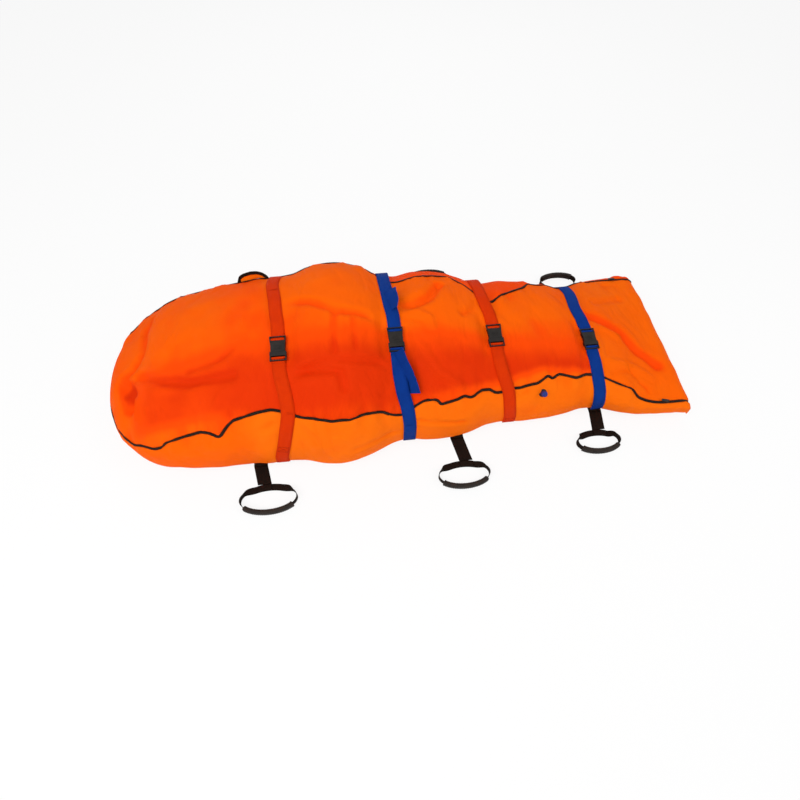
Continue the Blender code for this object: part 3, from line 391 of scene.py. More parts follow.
@dataclass(frozen=True)
class Webbing:
    """Woven strap: ribs across its width, a tight edge and faint wear."""

    name: str
    colour: Colour
    worn: Colour
    on_surface: bool = True
    weave: Weave = Weave.WEBBING
    roughness: float = 0.62

    def material(self) -> bpy.types.Material:
        """The finished material.

        Returns:
            The material.
        """
        made, graph, shader = new_material(self.name)
        place = graph.add("TexCoord")
        where = graph.add("UVMap", uv_map="flat").outputs[0] if self.on_surface else place.outputs["Object"]
        weave = graph.add("Group", node_tree=weave_group())
        weave.inputs["Across"].default_value, weave.inputs["Along"].default_value = self.weave.value
        graph.link(where, weave.inputs["Place"])
        wear = graph.add("TexNoise", {"Scale": 26.0, "Detail": 4.0, "Roughness": 0.65})
        graph.link(place.outputs["Object"], wear.inputs["Vector"])
        mix = graph.add("Mix", data_type="RGBA")
        mix.inputs["A"].default_value = (*self.colour, 1.0)
        mix.inputs["B"].default_value = (*self.worn, 1.0)
        share = graph.math("MULTIPLY", wear.outputs["Fac"], weave.outputs[0])
        graph.link(graph.math("MULTIPLY", share, 1.2, clamp=True), mix.inputs["Factor"])
        graph.link(mix.outputs["Result"], shader.inputs["Base Color"])
        low, high = self.roughness - 0.1, self.roughness + 0.15
        set_roughness(graph, shader, wear.outputs["Fac"], low, high)
        join_bumps(graph, shader, ((wear.outputs["Fac"], 0.0006), (weave.outputs[0], 0.0003)))
        shader.inputs["Specular IOR Level"].default_value = 0.05
        return made


@dataclass(frozen=True)
class Moulding:
    """Moulded plastic or rubber with a fine grain and slightly rubbed places."""

    name: str
    colour: Colour
    rubbed: Colour
    roughness: float
    grain: float = 0.00010
    grain_scale: float = 900.0
    metallic: float = 0.0

    def material(self) -> bpy.types.Material:
        """The finished material.

        Returns:
            The material.
        """
        made, graph, shader = new_material(self.name)
        place = graph.add("TexCoord")
        grain = graph.add("TexNoise", {"Scale": self.grain_scale, "Detail": 2.0})
        rub = graph.add("TexNoise", {"Scale": 40.0, "Detail": 4.0, "Roughness": 0.6})
        for node in (grain, rub):
            graph.link(place.outputs["Object"], node.inputs["Vector"])
        ramp = graph.add("ValToRGB")
        ramp.color_ramp.elements[0].position = 0.45
        ramp.color_ramp.elements[0].color = (*self.colour, 1.0)
        ramp.color_ramp.elements[1].position = 0.75
        ramp.color_ramp.elements[1].color = (*self.rubbed, 1.0)
        graph.link(rub.outputs["Fac"], ramp.inputs[0])
        graph.link(ramp.outputs[0], shader.inputs["Base Color"])
        low, high = self.roughness - 0.07, self.roughness + 0.12
        set_roughness(graph, shader, rub.outputs["Fac"], low, high)
        join_bumps(graph, shader, ((grain.outputs["Fac"], self.grain),))
        shader.inputs["Metallic"].default_value = self.metallic
        shader.inputs["Specular IOR Level"].default_value = 0.25
        return made


LIGHT_ORANGE: Colour = (1.0, 0.165, 0.003)
# From the base's light orange to the cover's deepest red; the tone that picks from it holds both panel colours and
# painted shade
BAG_STOPS = (
    (0.0, LIGHT_ORANGE),
    (0.30, (1.0, 0.125, 0.001)),
    (0.60, (1.0, 0.070, 0.001)),
    (1.0, (0.76, 0.033, 0.001)),
)


class Wardrobe:
    """Every finish of the stretcher, each made into a material once."""

    finishes = {
        "base_fabric": BagFabric("base_fabric", BAG_STOPS),
        "cover_fabric": BagFabric("cover_fabric", BAG_STOPS),
        "orange_webbing": Webbing("orange_webbing", (0.66, 0.028, 0.0), (0.84, 0.050, 0.0)),
        "blue_webbing": Webbing("blue_webbing", (0.002, 0.026, 0.200), (0.004, 0.055, 0.330)),
        "black_webbing": Webbing("black_webbing", (0.008, 0.004, 0.003), (0.020, 0.012, 0.008)),
        "zip_tape": Webbing("zip_tape", (0.010, 0.006, 0.004), (0.022, 0.014, 0.010), True, Weave.TAPE),
        "zip_coil": Moulding("zip_coil", (0.012, 0.008, 0.006), (0.030, 0.022, 0.016), 0.38),
        "orange_thread": Webbing("orange_thread", (0.30, 0.010, 0.0), (0.40, 0.016, 0.0), False),
        "blue_thread": Webbing("blue_thread", (0.004, 0.025, 0.16), (0.008, 0.04, 0.22), False),
        "black_plastic": Moulding("black_plastic", (0.006, 0.004, 0.003), (0.014, 0.010, 0.008), 0.42),
        "rubber": Moulding("rubber", (0.009, 0.005, 0.003), (0.028, 0.017, 0.011), 0.60, 0.0002, 500.0),
        "blue_plastic": Moulding("blue_plastic", (0.008, 0.020, 0.16), (0.016, 0.040, 0.26), 0.45),
        "metal": Moulding("metal", (0.020, 0.018, 0.017), (0.045, 0.042, 0.040), 0.40, 0.00006, 1200.0, 0.6),
        "envelope_film": BagFabric("envelope_film", ((0.0, (0.55, 0.06, 0.01)), (1.0, (0.45, 0.05, 0.01)))),
        "beads": Moulding("beads", (0.80, 0.80, 0.78), (0.9, 0.9, 0.88), 0.7, 0.0012, 160.0),
    }
    slots = {"zip_coil": "zip_tape", "orange_thread": "orange_webbing", "blue_thread": "blue_webbing"}

    def __init__(self) -> None:
        """Start with no material made."""
        self.made: dict[str, bpy.types.Material] = {}

    def material(self, name: str) -> bpy.types.Material:
        """The material of a finish, made on first use.

        Args:
            name: The finish's name.

        Returns:
            The material.
        """
        if name not in self.made:
            self.made[name] = self.finishes[name].material()
        return self.made[name]

    def dress(self, piece: bpy.types.Object, name: str) -> None:
        """Give a piece one finish.

        Args:
            piece: The piece.
            name: The finish's name.
        """
        piece.data.materials.clear()
        piece.data.materials.append(self.material(name))
        self.slots.get(name, name)


# Mesh tools


def grid(columns: int, rows: int, place: Callable[[float, float], Sequence[float]],
         flat: Callable[[float, float], tuple[float, float]] | None = None) -> bmesh.types.BMesh:
    """A grid whose points are moved to a surface.

    Args:
        columns: Faces along the first direction.
        rows: Faces along the second direction.
        place: The point for two shares from 0 to 1.
        flat: The cloth's flat place for the same shares, in metres.

    Returns:
        The shaped bmesh, with a UV map when flat is given.
    """
    shape = bmesh.new()
    bmesh.ops.create_grid(shape, x_segments=columns, y_segments=rows, size=0.5)
    shares = {vert: (vert.co.x + 0.5, vert.co.y + 0.5) for vert in shape.verts}
    if flat is not None:
        layer = shape.loops.layers.uv.new("flat")
        for face in shape.faces:
            for loop in face.loops:
                loop[layer].uv = flat(*shares[loop.vert])
    for vert, share in shares.items():
        vert.co = place(*share)
    return shape


def flat_band(width: float, length: float) -> Callable[[float, float], tuple[float, float]]:
    """Flat places of a band for shares along and across it."""
    return lambda u, v: ((v - 0.5) * width, u * length)


def piece_from(name: str, shape: bmesh.types.BMesh, smooth: bool = True) -> bpy.types.Object:
    """Link a bmesh as an object at the origin.

    Args:
        name: The object's name.
        shape: The bmesh, which is freed.
        smooth: Whether its faces are shaded smooth.

    Returns:
        The new object.
    """
    mesh = bpy.data.meshes.new(name)
    shape.to_mesh(mesh)
    shape.free()
    if smooth:
        mesh.shade_smooth()
    made = bpy.data.objects.new(name, mesh)
    bpy.context.scene.collection.objects.link(made)
    return made


def thicken(piece: bpy.types.Object, thickness: float, offset: float = -1.0) -> None:
    """Give a sheet its thickness.

    Args:
        piece: The piece.
        thickness: The thickness.
        offset: -1 to grow inwards, 1 outwards, 0 both ways.
    """
    step = piece.modifiers.new("thickness", "SOLIDIFY")
    step.thickness = thickness
    step.offset = offset


def bevelled(piece: bpy.types.Object, width: float, segments: int = 2) -> None:
    """Round the sharp edges of a piece.

    Args:
        piece: The piece.
        width: Its radius.
        segments: Steps of the rounding.
    """
    step = piece.modifiers.new("edges", "BEVEL")
    step.width = width
    step.segments = segments
    step.limit_method = "ANGLE"
    step.angle_limit = math.radians(35)


def interpolate(table: Sequence[tuple[float, float]], x: float) -> float:
    """Straight-line interpolation in a table of pairs.

    Args:
        table: The pairs.
        x: The place to look up.

    Returns:
        The value at x.
    """
    if x <= table[0][0]:
        return table[0][1]
    for (x0, y0), (x1, y1) in zip(table, table[1:]):
        if x <= x1:
            return y0 + (y1 - y0) * (x - x0) / (x1 - x0)
    return table[-1][1]


def ease(value: float) -> float:
    """A smooth step from 0 to 1."""
    value = min(max(value, 0.0), 1.0)
    return value * value * (3 - 2 * value)


# The bag


def on_table(table: Sequence[tuple[float, float]], x: np.ndarray) -> np.ndarray:
    """Values of a table of pairs at many places."""
    return np.interp(x, [row[0] for row in table], [row[1] for row in table])


def smooth_step(value: np.ndarray) -> np.ndarray:
    """A smooth step from 0 to 1 at many places."""
    value = np.clip(value, 0.0, 1.0)
    return value * value * (3 - 2 * value)


def away_from(points: np.ndarray, line: Sequence[Place3]) -> np.ndarray:
    """Distance of many points from a line of straight pieces.

    Args:
        points: The points, one a row.
        line: The corners of the line.

    Returns:
        The distance of each point.
    """
    nearest = np.full(len(points), 9.0)
    corners = np.array(line, float)
    for start, end in zip(corners, corners[1:]):
        along = end - start
        share = np.clip(((points - start) @ along) / (along @ along), 0.0, 1.0)
        nearest = np.minimum(nearest, np.linalg.norm(points - start - share[:, None] * along, axis=1))
    return nearest


@dataclass(frozen=True)
class Fold:
    """One fold of the cloth: where it runs, how deep it is (below 0 for a ridge) and its half breadth."""

    depth: float
    breadth: float
    line: tuple[Place3, ...]

    def push(self, points: np.ndarray) -> np.ndarray:
        """How far the fold pushes each point along its normal, with a soft swell on both flanks."""
        share = (away_from(points, self.line) / self.breadth) ** 2
        return -self.depth * (1 - 0.75 * share) * np.exp(-0.9 * share)


FOOT_BAND: tuple[Place3, ...] = ((0.718, 0.061, 0.222), (0.806, 0.028, 0.186), (0.880, -0.008, 0.155),
                                 (0.932, -0.096, 0.138), (0.998, -0.155, 0.121))
FOLDS = (
    Fold(0.013, 0.017, ((-0.932, 0.193, 0.231), (-0.945, 0.109, 0.237), (-0.932, 0.020, 0.249),
                        (-0.962, -0.050, 0.227), (-0.997, -0.058, 0.201))),
    Fold(0.026, 0.034, ((-0.992, -0.095, 0.200), (-0.959, -0.144, 0.214), (-0.965, -0.183, 0.198))),
    Fold(-0.008, 0.013, ((-0.932, -0.171, 0.225), (-0.928, -0.236, 0.200))),
    Fold(-0.008, 0.013, ((-0.891, -0.209, 0.234), (-0.906, -0.257, 0.200))),
    Fold(0.014, 0.024, ((-0.924, -0.090, 0.246), (-0.823, -0.141, 0.280), (-0.728, -0.166, 0.299),
                        (-0.648, -0.171, 0.318), (-0.580, -0.178, 0.334))),
    Fold(0.008, 0.017, ((-0.733, -0.128, 0.307), (-0.681, -0.124, 0.322), (-0.626, -0.116, 0.340),
                        (-0.580, -0.085, 0.359))),
    Fold(0.007, 0.014, ((-0.758, -0.348, 0.148), (-0.686, -0.340, 0.186), (-0.632, -0.336, 0.197))),
    Fold(0.007, 0.014, ((-0.615, -0.342, 0.183), (-0.539, -0.330, 0.212), (-0.442, -0.326, 0.263))),
    Fold(0.005, 0.012, ((-0.810, -0.335, 0.154), (-0.707, -0.336, 0.191))),
    Fold(0.009, 0.014, ((-0.227, -0.022, 0.429), (-0.234, -0.111, 0.419), (-0.234, -0.166, 0.405))),
    Fold(0.007, 0.012, ((-0.167, -0.049, 0.420), (-0.167, -0.155, 0.401))),
    Fold(0.010, 0.016, ((-0.346, -0.202, 0.377), (-0.280, -0.193, 0.391), (-0.207, -0.194, 0.395),
                        (-0.071, -0.191, 0.352))),
    Fold(0.015, 0.020, ((-0.385, -0.211, 0.367), (-0.274, -0.215, 0.383), (-0.221, -0.226, 0.380),
                        (-0.214, -0.274, 0.350))),
    Fold(0.010, 0.020, ((-0.391, 0.072, 0.404), (-0.313, 0.043, 0.420), (-0.221, -0.014, 0.430),
                        (-0.119, -0.032, 0.407))),
    Fold(0.008, 0.014, ((-0.200, -0.395, 0.138), (-0.126, -0.367, 0.141), (-0.037, -0.338, 0.127))),
    Fold(0.005, 0.012, ((-0.378, -0.369, 0.212), (-0.391, -0.391, 0.101))),
    Fold(0.018, 0.026, ((-0.003, 0.040, 0.380), (0.045, 0.032, 0.377), (0.106, 0.066, 0.369),
                        (0.154, 0.139, 0.349))),
    Fold(-0.010, 0.018, ((-0.010, -0.009, 0.382), (0.052, -0.004, 0.377), (0.093, -0.032, 0.373),
                         (0.100, -0.068, 0.369))),
    Fold(-0.010, 0.020, ((0.024, -0.065, 0.375), (0.031, -0.120, 0.364), (0.052, -0.146, 0.355),
                         (0.100, -0.220, 0.318), (0.181, -0.266, 0.275))),
    Fold(0.008, 0.012, ((0.031, -0.328, 0.176), (0.106, -0.335, 0.163), (0.195, -0.338, 0.142))),
    Fold(0.005, 0.011, ((0.086, -0.311, 0.223), (0.093, -0.329, 0.181))),
    Fold(0.008, 0.016, ((0.079, 0.037, 0.374), (0.127, 0.082, 0.365), (0.161, 0.139, 0.348))),
    Fold(0.009, 0.016, ((0.221, -0.004, 0.347), (0.261, 0.021, 0.332), (0.288, 0.064, 0.319))),
    Fold(0.008, 0.014, ((0.281, -0.322, 0.128), (0.314, -0.311, 0.151), (0.340, -0.300, 0.173))),
    Fold(0.005, 0.012, ((0.386, -0.286, 0.190), (0.417, -0.274, 0.200), (0.455, -0.264, 0.207))),
    Fold(0.016, 0.028, FOOT_BAND),
    Fold(-0.009, 0.022, ((0.708, 0.024, 0.226), (0.792, -0.004, 0.192), (0.855, -0.036, 0.164))),
    Fold(-0.008, 0.020, ((0.773, -0.157, 0.185), (0.875, -0.172, 0.148), (0.946, -0.212, 0.126))),
    Fold(0.007, 0.013, ((0.888, -0.236, 0.134), (0.918, -0.260, 0.124), (0.907, -0.289, 0.117),
                        (0.888, -0.280, 0.122))),
    Fold(0.006, 0.013, ((0.773, -0.205, 0.170), (0.859, -0.186, 0.151), (0.875, -0.214, 0.141))),
    Fold(0.009, 0.022, ((0.811, 0.132, 0.178), (0.956, 0.182, 0.129))),
)


@dataclass
class BagForm:
    """The bag's outside: its section at any place along it, and the seats of the buckles."""

    head_length: float = 0.240
    foot_length: float = 0.060
    round_power: float = 2.4
    dip: float = 0.012
    dip_reach: float = 0.073
    strap_half: float = 0.027
    low_power: float = 4.6
    foot_line: float = 0.030
    zip_free_end: float = 0.866
    seat_starts: tuple[float, ...] = (0.060, 0.052, 0.022, 0.016)
    seat_length: float = 0.114

    def slope(self, k: int, column: int) -> float:
        """Slope of the outline's curve at one of its rows.

        Args:
            k: The row.
            column: The table's column.

        Returns:
            The slope.
        """
        if k in (0, len(BAG_ROWS) - 1):
            return 0.0
        low, high = BAG_ROWS[k - 1], BAG_ROWS[k + 1]
        return (high[column] - low[column]) / (high[0] - low[0])

    def value(self, x: float, column: int) -> float:
        """One column of the outline's table on a smooth curve.

        Args:
            x: Place along the bag.
            column: The table's column.

        Returns:
            The value at x.
        """
        x = min(max(x, BAG_ROWS[0][0]), BAG_ROWS[-1][0])
        k = max(i for i, row in enumerate(BAG_ROWS[:-1]) if row[0] <= x)
        low, high = BAG_ROWS[k], BAG_ROWS[k + 1]
        span = high[0] - low[0]
        t = (x - low[0]) / span
        return ((1 + 2 * t) * (1 - t) ** 2 * low[column] + t * (1 - t) ** 2 * span * self.slope(k, column)
                + t * t * (3 - 2 * t) * high[column] + t * t * (t - 1) * span * self.slope(k + 1, column))

    def full(self, distance: float, reach: float) -> float:
        """How full a rounded end is at a distance from its tip, from 0 to 1."""
        share = min(max(distance / reach, 0.0), 1.0)
        return (1 - (1 - share) ** self.round_power) ** (1 / self.round_power)

    def pressed(self, x: float) -> float:
        """How far the straps press the bag in at x."""
        away = max(min(abs(x - centre) for centre in STRAP_X) - self.strap_half, 0.0) / self.dip_reach
        return self.dip * math.exp(-2.5 * away * away)

    def sizes(self, x: float) -> tuple[float, float, float, float]:
        """Half width, equator, crown and lowest height at x.

        Args:
            x: Place along the bag.

        Returns:
            The four sizes.
        """
        head = self.full(x - HEAD_END, self.head_length)
        foot = self.full(FOOT_END - x, self.foot_length)
        dip = self.pressed(x)
        width = (self.value(x, 1) - dip) * head
        tall = (self.value(x, 2) - dip - EQUATOR) * head ** 0.7
        low = LIFT + (EQUATOR - LIFT) * (1 - head ** 0.5)
        heights = (EQUATOR, EQUATOR + tall, low)
        equator, crown, low = (self.foot_line + (height - self.foot_line) * foot for height in heights)
        return width, equator, crown, low

    def upper(self, x: float, angle: float) -> Vector:
        """A point of the upper half: angle 0 is the far side, pi the near one.

        Args:
            x: Place along the bag.
            angle: The angle in radians.

        Returns:
            The point.
        """
        width, equator, crown, _ = self.sizes(x)
        c, s = math.cos(angle), max(math.sin(angle), 0.0)
        y = math.copysign(abs(c) ** (2 / POWER), c) * width
        return Vector((x, y, equator + s ** (2 / POWER) * (crown - equator)))

    def lower(self, x: float, angle: float) -> Vector:
        """A point of the lower half: angle 0 is the near side, pi the far one.

        Args:
            x: Place along the bag.
            angle: The angle in radians.

        Returns:
            The point.
        """
        width, equator, _, low = self.sizes(x)
        c, s = math.cos(angle), max(math.sin(angle), 0.0)
        y = -math.copysign(abs(c) ** (2 / self.low_power), c) * width
        return Vector((x, y, equator - s ** (2 / self.low_power) * (equator - low)))

    def zip_angle(self, x: float, side: int) -> float:
        """Angle of the zip above the equator at x: side -1 is the near one.

        Args:
            x: Place along the bag.
            side: 1 for the far side, -1 for the near one.

        Returns:
            The angle in radians.
        """
        width = max(self.sizes(x)[0], 1e-4)
        table = NEAR_ZIP if side < 0 else FAR_ZIP
        plain = self.value(x, 3 if side < 0 else 4)
        inside = ease((x - table[0][0]) / 0.05) * ease((self.zip_free_end - x) / 0.03)
        share = interpolate(table, x) / width * inside + plain * (1 - inside)
        return math.acos(min(share, 0.985) ** (POWER / 2))

    def columns(self, step: float) -> list[float]:
        """Places along the bag, close together at both ends.

        Args:
            step: Distance between them in the middle.

        Returns:
            The places.
        """
        head = [HEAD_END + self.head_length * (k / 26) ** 2 for k in range(27)]
        foot = [FOOT_END - self.foot_length * (k / 9) ** 2 for k in range(9, -1, -1)]
        count = round((foot[0] - head[-1]) / step)
        middle = [head[-1] + (foot[0] - head[-1]) * k / count for k in range(1, count)]
        return head + middle + foot

    def seat(self, k: int) -> Matrix:
        """Axes of a buckle: X along the bag, Y up the strap to the far side, Z off the cloth.

        Args:
            k: Which one, from 0.

        Returns:
            The axes.
        """
        x = STRAP_X[k]
        width, equator, crown, _ = self.sizes(x)
        ends = []
        for y in (self.seat_starts[k], self.seat_starts[k] + self.seat_length):
            angle = math.acos((y / width) ** (POWER / 2))
            ends.append(self.upper(x, math.pi - angle))
        up = (ends[0] - ends[1]).normalized()
        turn = Matrix((X_AXIS, up, X_AXIS.cross(up))).transposed()
        return Matrix.Translation((ends[0] + ends[1]) / 2) @ turn.to_4x4()


@dataclass
class BagShell:
    """The bag's cloth: a cover and a base that meet along the zip, with their folds, colours and painted shade."""

    wardrobe: Wardrobe
    form: BagForm
    step: float = 0.0095
    cover_rows: int = 96
    base_rows: int = 68
    wall_share: float = 0.27
    thickness: float = 0.0012
    deepest: float = 0.021
    deepest_base: float = 0.008
    proudest: float = 0.009
    pucker: float = 0.0052
    pucker_reach: float = 0.016
    tree: BVHTree | None = None
    zip_line: list[Vector] = field(default_factory=list)
    still_places: list[tuple[Vector, float]] = field(default_factory=list)
    # Painted shade: how much deeper the tone gets where the cloth is pushed in, in fold valleys and hollows
    valley_shade: float = 0.18
    strap_hold: float = 0.75
    strap_reach: float = 0.036
    still_fade: float = 0.03
    floor_still: float = 0.012
    floor_fade: float = 0.05
    broad_drift: float = 0.0050
    small_drift: float = 0.0026
    seat_half: tuple[float, float] = (0.028, 0.056)
    seat_fade: tuple[float, float] = (0.040, 0.045)
    seat_close: float = 0.05
    seat_drop: float = 0.0012

    def cover_point(self, x: float, share: float) -> Vector:
        """A point of the cover: share 0 is the far rim, 1 the near one."""
        start, end = self.form.zip_angle(x, 1), math.pi - self.form.zip_angle(x, -1)
        return self.form.upper(x, start + (end - start) * share)

    def base_point(self, x: float, share: float) -> Vector:
        """A point of the base: share 0 is the near rim, 1 the far one.

        Args:
            x: Place along the bag.
            share: Share of the way across.

        Returns:
            The point.
        """
        wall = self.wall_share
        if share < wall:
            return self.form.upper(x, math.pi - self.form.zip_angle(x, -1) * (1 - share / wall))
        if share > 1 - wall:
            return self.form.upper(x, self.form.zip_angle(x, 1) * (share - 1 + wall) / wall)
        return self.form.lower(x, math.pi * (share - wall) / (1 - 2 * wall))

    def half(self, part: Part) -> bpy.types.Mesh:
        """One half of the cloth, before its folds.

        Args:
            part: Which half.

        Returns:
            Its mesh, each face marked with the half.
        """
        columns = self.form.columns(self.step)
        last = len(columns) - 1
        rows = self.cover_rows if part is Part.COVER else self.base_rows
        point = self.cover_point if part is Part.COVER else self.base_point

        def place(u: float, v: float) -> Vector:
            """The point at shares along the bag and across it."""
            return point(columns[round(u * last)], v)

        def flat(u: float, v: float) -> tuple[float, float]:
            """The flat place at the same shares."""
            return columns[round(u * last)], v * (0.95 if part is Part.COVER else 1.10)

        shape = grid(last, rows, place, flat)
        mark = shape.faces.layers.int.new("part")
        for face in shape.faces:
            face[mark] = part.value
        mesh = bpy.data.meshes.new("half")
        shape.to_mesh(mesh)
        shape.free()
        return mesh

    def joined(self) -> bmesh.types.BMesh:
        """Both halves in one skin, joined along the zip, closed at the head and facing out.

        Returns:
            The skin.
        """
        shape = bmesh.new()
        for part in Part:
            mesh = self.half(part)
            shape.from_mesh(mesh)
            bpy.data.meshes.remove(mesh)
        bmesh.ops.remove_doubles(shape, verts=shape.verts, dist=2e-5)
        bmesh.ops.recalc_face_normals(shape, faces=shape.faces)
        top = max(shape.faces, key=lambda face: face.calc_center_median().z)
        if top.normal.z < 0:
            bmesh.ops.reverse_faces(shape, faces=shape.faces)
        return shape

    def zip_points(self) -> list[Vector]:
        """Points of the zip from the near foot end round the head to the far foot end.

        Returns:
            The points.
        """
        columns = self.form.columns(self.step)
        near = [self.cover_point(x, 1.0) for x in reversed(columns)]
        far = [self.cover_point(x, 0.0) for x in columns[1:]]
        return near + far

    def calm(self, points: np.ndarray) -> np.ndarray:
        """How freely the cloth folds at each point: less under straps and round fittings.

        Args:
            points: The points, one a row.

        Returns:
            A share for each point, 1 where it is free.
        """
        free = np.ones(len(points))
        for x in STRAP_X:
            free *= 1 - self.strap_hold * np.exp(-(((points[:, 0] - x) / self.strap_reach) ** 2))
        for place, reach in self.still_places:
            away = np.linalg.norm(points - np.array(place), axis=1)
            free *= smooth_step((away - reach) / self.still_fade)
        return free * smooth_step((points[:, 2] - self.floor_still) / self.floor_fade)

    def puckers(self, points: np.ndarray, zip_away: np.ndarray) -> np.ndarray:
        """Gathers of the cloth beside the zip, across its run.

        Args:
            points: The points, one a row.
            zip_away: Each point's distance from the zip.

        Returns:
            The push of each point.
        """
        waves = np.array([noise.noise((x * 27, 3.0 if y < 0 else 9.0, 0.4)) + 0.5 * noise.noise((x * 61, 1.0, 2.0))
                          for x, y, _ in points])
        share = zip_away / self.pucker_reach
        return self.pucker * 1.5 * waves * share * np.exp(1 - share)

    def drift(self, points: np.ndarray) -> np.ndarray:
        """Broad soft unevenness of the filled bag.

        Args:
            points: The points, one a row.

        Returns:
            The push of each point.
        """
        broad = np.array([noise.noise((x * 8.0, y * 9.0, z * 9.0)) for x, y, z in points])
        small = np.array([noise.noise((x * 21.0, y * 17.0, z * 24.0 + 5.0)) for x, y, z in points])
        return self.broad_drift * broad + self.small_drift * small

    def seat_shift(self, points: np.ndarray) -> np.ndarray:
        """How far each point moves so that the cloth lies flat under the buckles.

        Args:
            points: The points, one a row.

        Returns:
            The move of each point.
        """
        moves = np.zeros_like(points)
        for k in range(len(STRAP_X)):
            seat = np.array(self.form.seat(k))
            local = (points - seat[:3, 3]) @ seat[:3, :3]
            along = smooth_step(1 - np.maximum(np.abs(local[:, 0]) - self.seat_half[0], 0) / self.seat_fade[0])
            up = smooth_step(1 - np.maximum(np.abs(local[:, 1]) - self.seat_half[1], 0) / self.seat_fade[1])
            close = np.abs(local[:, 2]) < self.seat_close
            moves += ((-self.seat_drop - local[:, 2]) * along * up * close)[:, None] * seat[:3, 2]
        return moves

    def tone(self, points: np.ndarray, covers: np.ndarray) -> np.ndarray:
        """How deep the colour is at each point, 0 for the light base to 1 for the deepest cover; besides the cover's
        deeper middle panel it holds painted shade down the slope to the near side, a painted shadow in the hollow at
        the head end and painted shade along the fold at the foot.

        Args:
            points: The points, one a row.
            covers: Whether each point belongs to the cover.

        Returns:
            The tone of each point.
        """
        x, y = points[:, 0], points[:, 1]
        far, near = on_table(PANEL_FAR, x), on_table(PANEL_NEAR, x)
        share = (far - y) / (far - near)
        # The middle panel's deeper colour is its own; its deepening from the far edge down to the near side is painted
        # shade
        panel = 0.38 + 0.10 * np.clip(share / 0.3, 0, 1) + 0.48 * smooth_step((-0.05 - y) / 0.15)
        inside_far = smooth_step((far - y) / 0.065 + 0.5)
        inside_near = smooth_step((y - near) / 0.045 + 0.5)
        value = 0.28 + (panel - 0.28) * inside_far
        strip = 0.80 - 0.45 * smooth_step((x + 0.02) / 0.30)
        value = strip + (value - strip) * inside_near
        # Painted shade: the cover at the head deepens down towards the near side
        deep = smooth_step((-0.03 - y) / 0.14) * smooth_step((y + 0.31) / 0.05) * smooth_step((x + 0.98) / 0.12)
        # Painted shadow in the hollow at the head end
        pocket_shadow = np.exp(-(((x + 0.965) / 0.05) ** 2 + ((y + 0.135) / 0.055) ** 2))
        head = np.maximum(0.40 + 0.42 * deep, 0.95 * pocket_shadow)
        value = head + (value - head) * smooth_step((x + 0.74) / 0.26)
        # Painted shade along the fold across the foot end
        foot = 0.22 + 0.20 * np.exp(-((away_from(points, FOOT_BAND) / 0.065) ** 2))
        value = value + (foot - value) * smooth_step((x - 0.69) / 0.06)
        base = 0.03 + 0.55 * smooth_step((y - 0.05) / 0.05) + 0.26 * smooth_step((-0.46 - x) / 0.14)
        return np.where(covers, value, base)

    def shape_up(self) -> bmesh.types.BMesh:
        """The whole skin with its folds, flat seats, colours and painted shade.

        Returns:
            The skin.
        """
        shape = self.joined()
        shape.verts.ensure_lookup_table()
        mark = shape.faces.layers.int["part"]
        points = np.array([vert.co for vert in shape.verts])
        normals = np.array([vert.normal for vert in shape.verts])
        covers = np.array([all(face[mark] == Part.COVER.value for face in vert.link_faces) for vert in shape.verts])
        base_like = np.array([any(face[mark] == Part.BASE.value for face in vert.link_faces) for vert in shape.verts])
        zip_away = away_from(points, self.zip_points())
        push = sum(fold.push(points) for fold in FOLDS)
        push = push + self.puckers(points, zip_away) + self.drift(points)
        push *= self.calm(points) * smooth_step(zip_away / 0.010 + 0.25)
        push *= smooth_step((points[:, 0] - HEAD_END) / 0.03) * smooth_step((FOOT_END - points[:, 0]) / 0.02)
        deepest = np.where(base_like, self.deepest_base, self.deepest)
        push = np.clip(push, -deepest, self.proudest)
        moved = points + normals * push[:, None]
        moved += self.seat_shift(moved)
        layer = shape.verts.layers.float.new("tone")
        # Painted shade: the tone deepens where the cloth is pushed in, in the valleys of the folds
        tones = np.clip(self.tone(points, covers) + self.valley_shade * np.clip(-push / 0.008, 0, 1), 0, 1)
        for vert, place, tone in zip(shape.verts, moved, tones):
            vert.co = place
            vert[layer] = tone
        shape.normal_update()
        return shape

    def cut_out(self, shape: bmesh.types.BMesh, part: Part, name: str, finish: str, node: str) -> bpy.types.Object:
        """One half of the skin as a dressed piece.

        Args:
            shape: The whole skin.
            part: Which half to keep.
            name: The piece's name.
            finish: Its finish.
            node: The CAD node that it stands for.

        Returns:
            The piece.
        """
        own = shape.copy()
        mark = own.faces.layers.int["part"]
        others = [face for face in own.faces if face[mark] != part.value]
        bmesh.ops.delete(own, geom=others, context="FACES")
        piece = piece_from(name, own)
        thicken(piece, self.thickness)
        self.wardrobe.dress(piece, finish)
        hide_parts(node)
        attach(piece, "bag")
        return piece

    def build(self) -> list[bpy.types.Object]:
        """Make the cover and the base.

        Returns:
            The two pieces.
        """
        low, high = (Vector(corner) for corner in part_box("valve_body"))
        self.still_places.append(((low + high) / 2, 0.030))
        for node in ("zip_slider_near", "zip_slider_far"):
            low, high = (Vector(corner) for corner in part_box(node))
            for step in range(6):
                self.still_places.append(((low + high) / 2 - Vector((0.02 * step, 0.0, 0.0)), 0.014))
        for k in range(len(STRAP_X)):
            for v in (-0.050, -0.085):
                self.still_places.append((self.form.seat(k) @ Vector((0.0, v, 0.0)), 0.036))
        shape = self.shape_up()
        self.tree = BVHTree.FromBMesh(shape)
        self.zip_line = [self.tree.find_nearest(point)[0] for point in self.zip_points()]
        cover = self.cut_out(shape, Part.COVER, "bag_cover_cloth", "cover_fabric", "bag_cover")
        base = self.cut_out(shape, Part.BASE, "bag_base_cloth", "base_fabric", "bag_base")
        shape.free()
        return [cover, base]


# Webbing


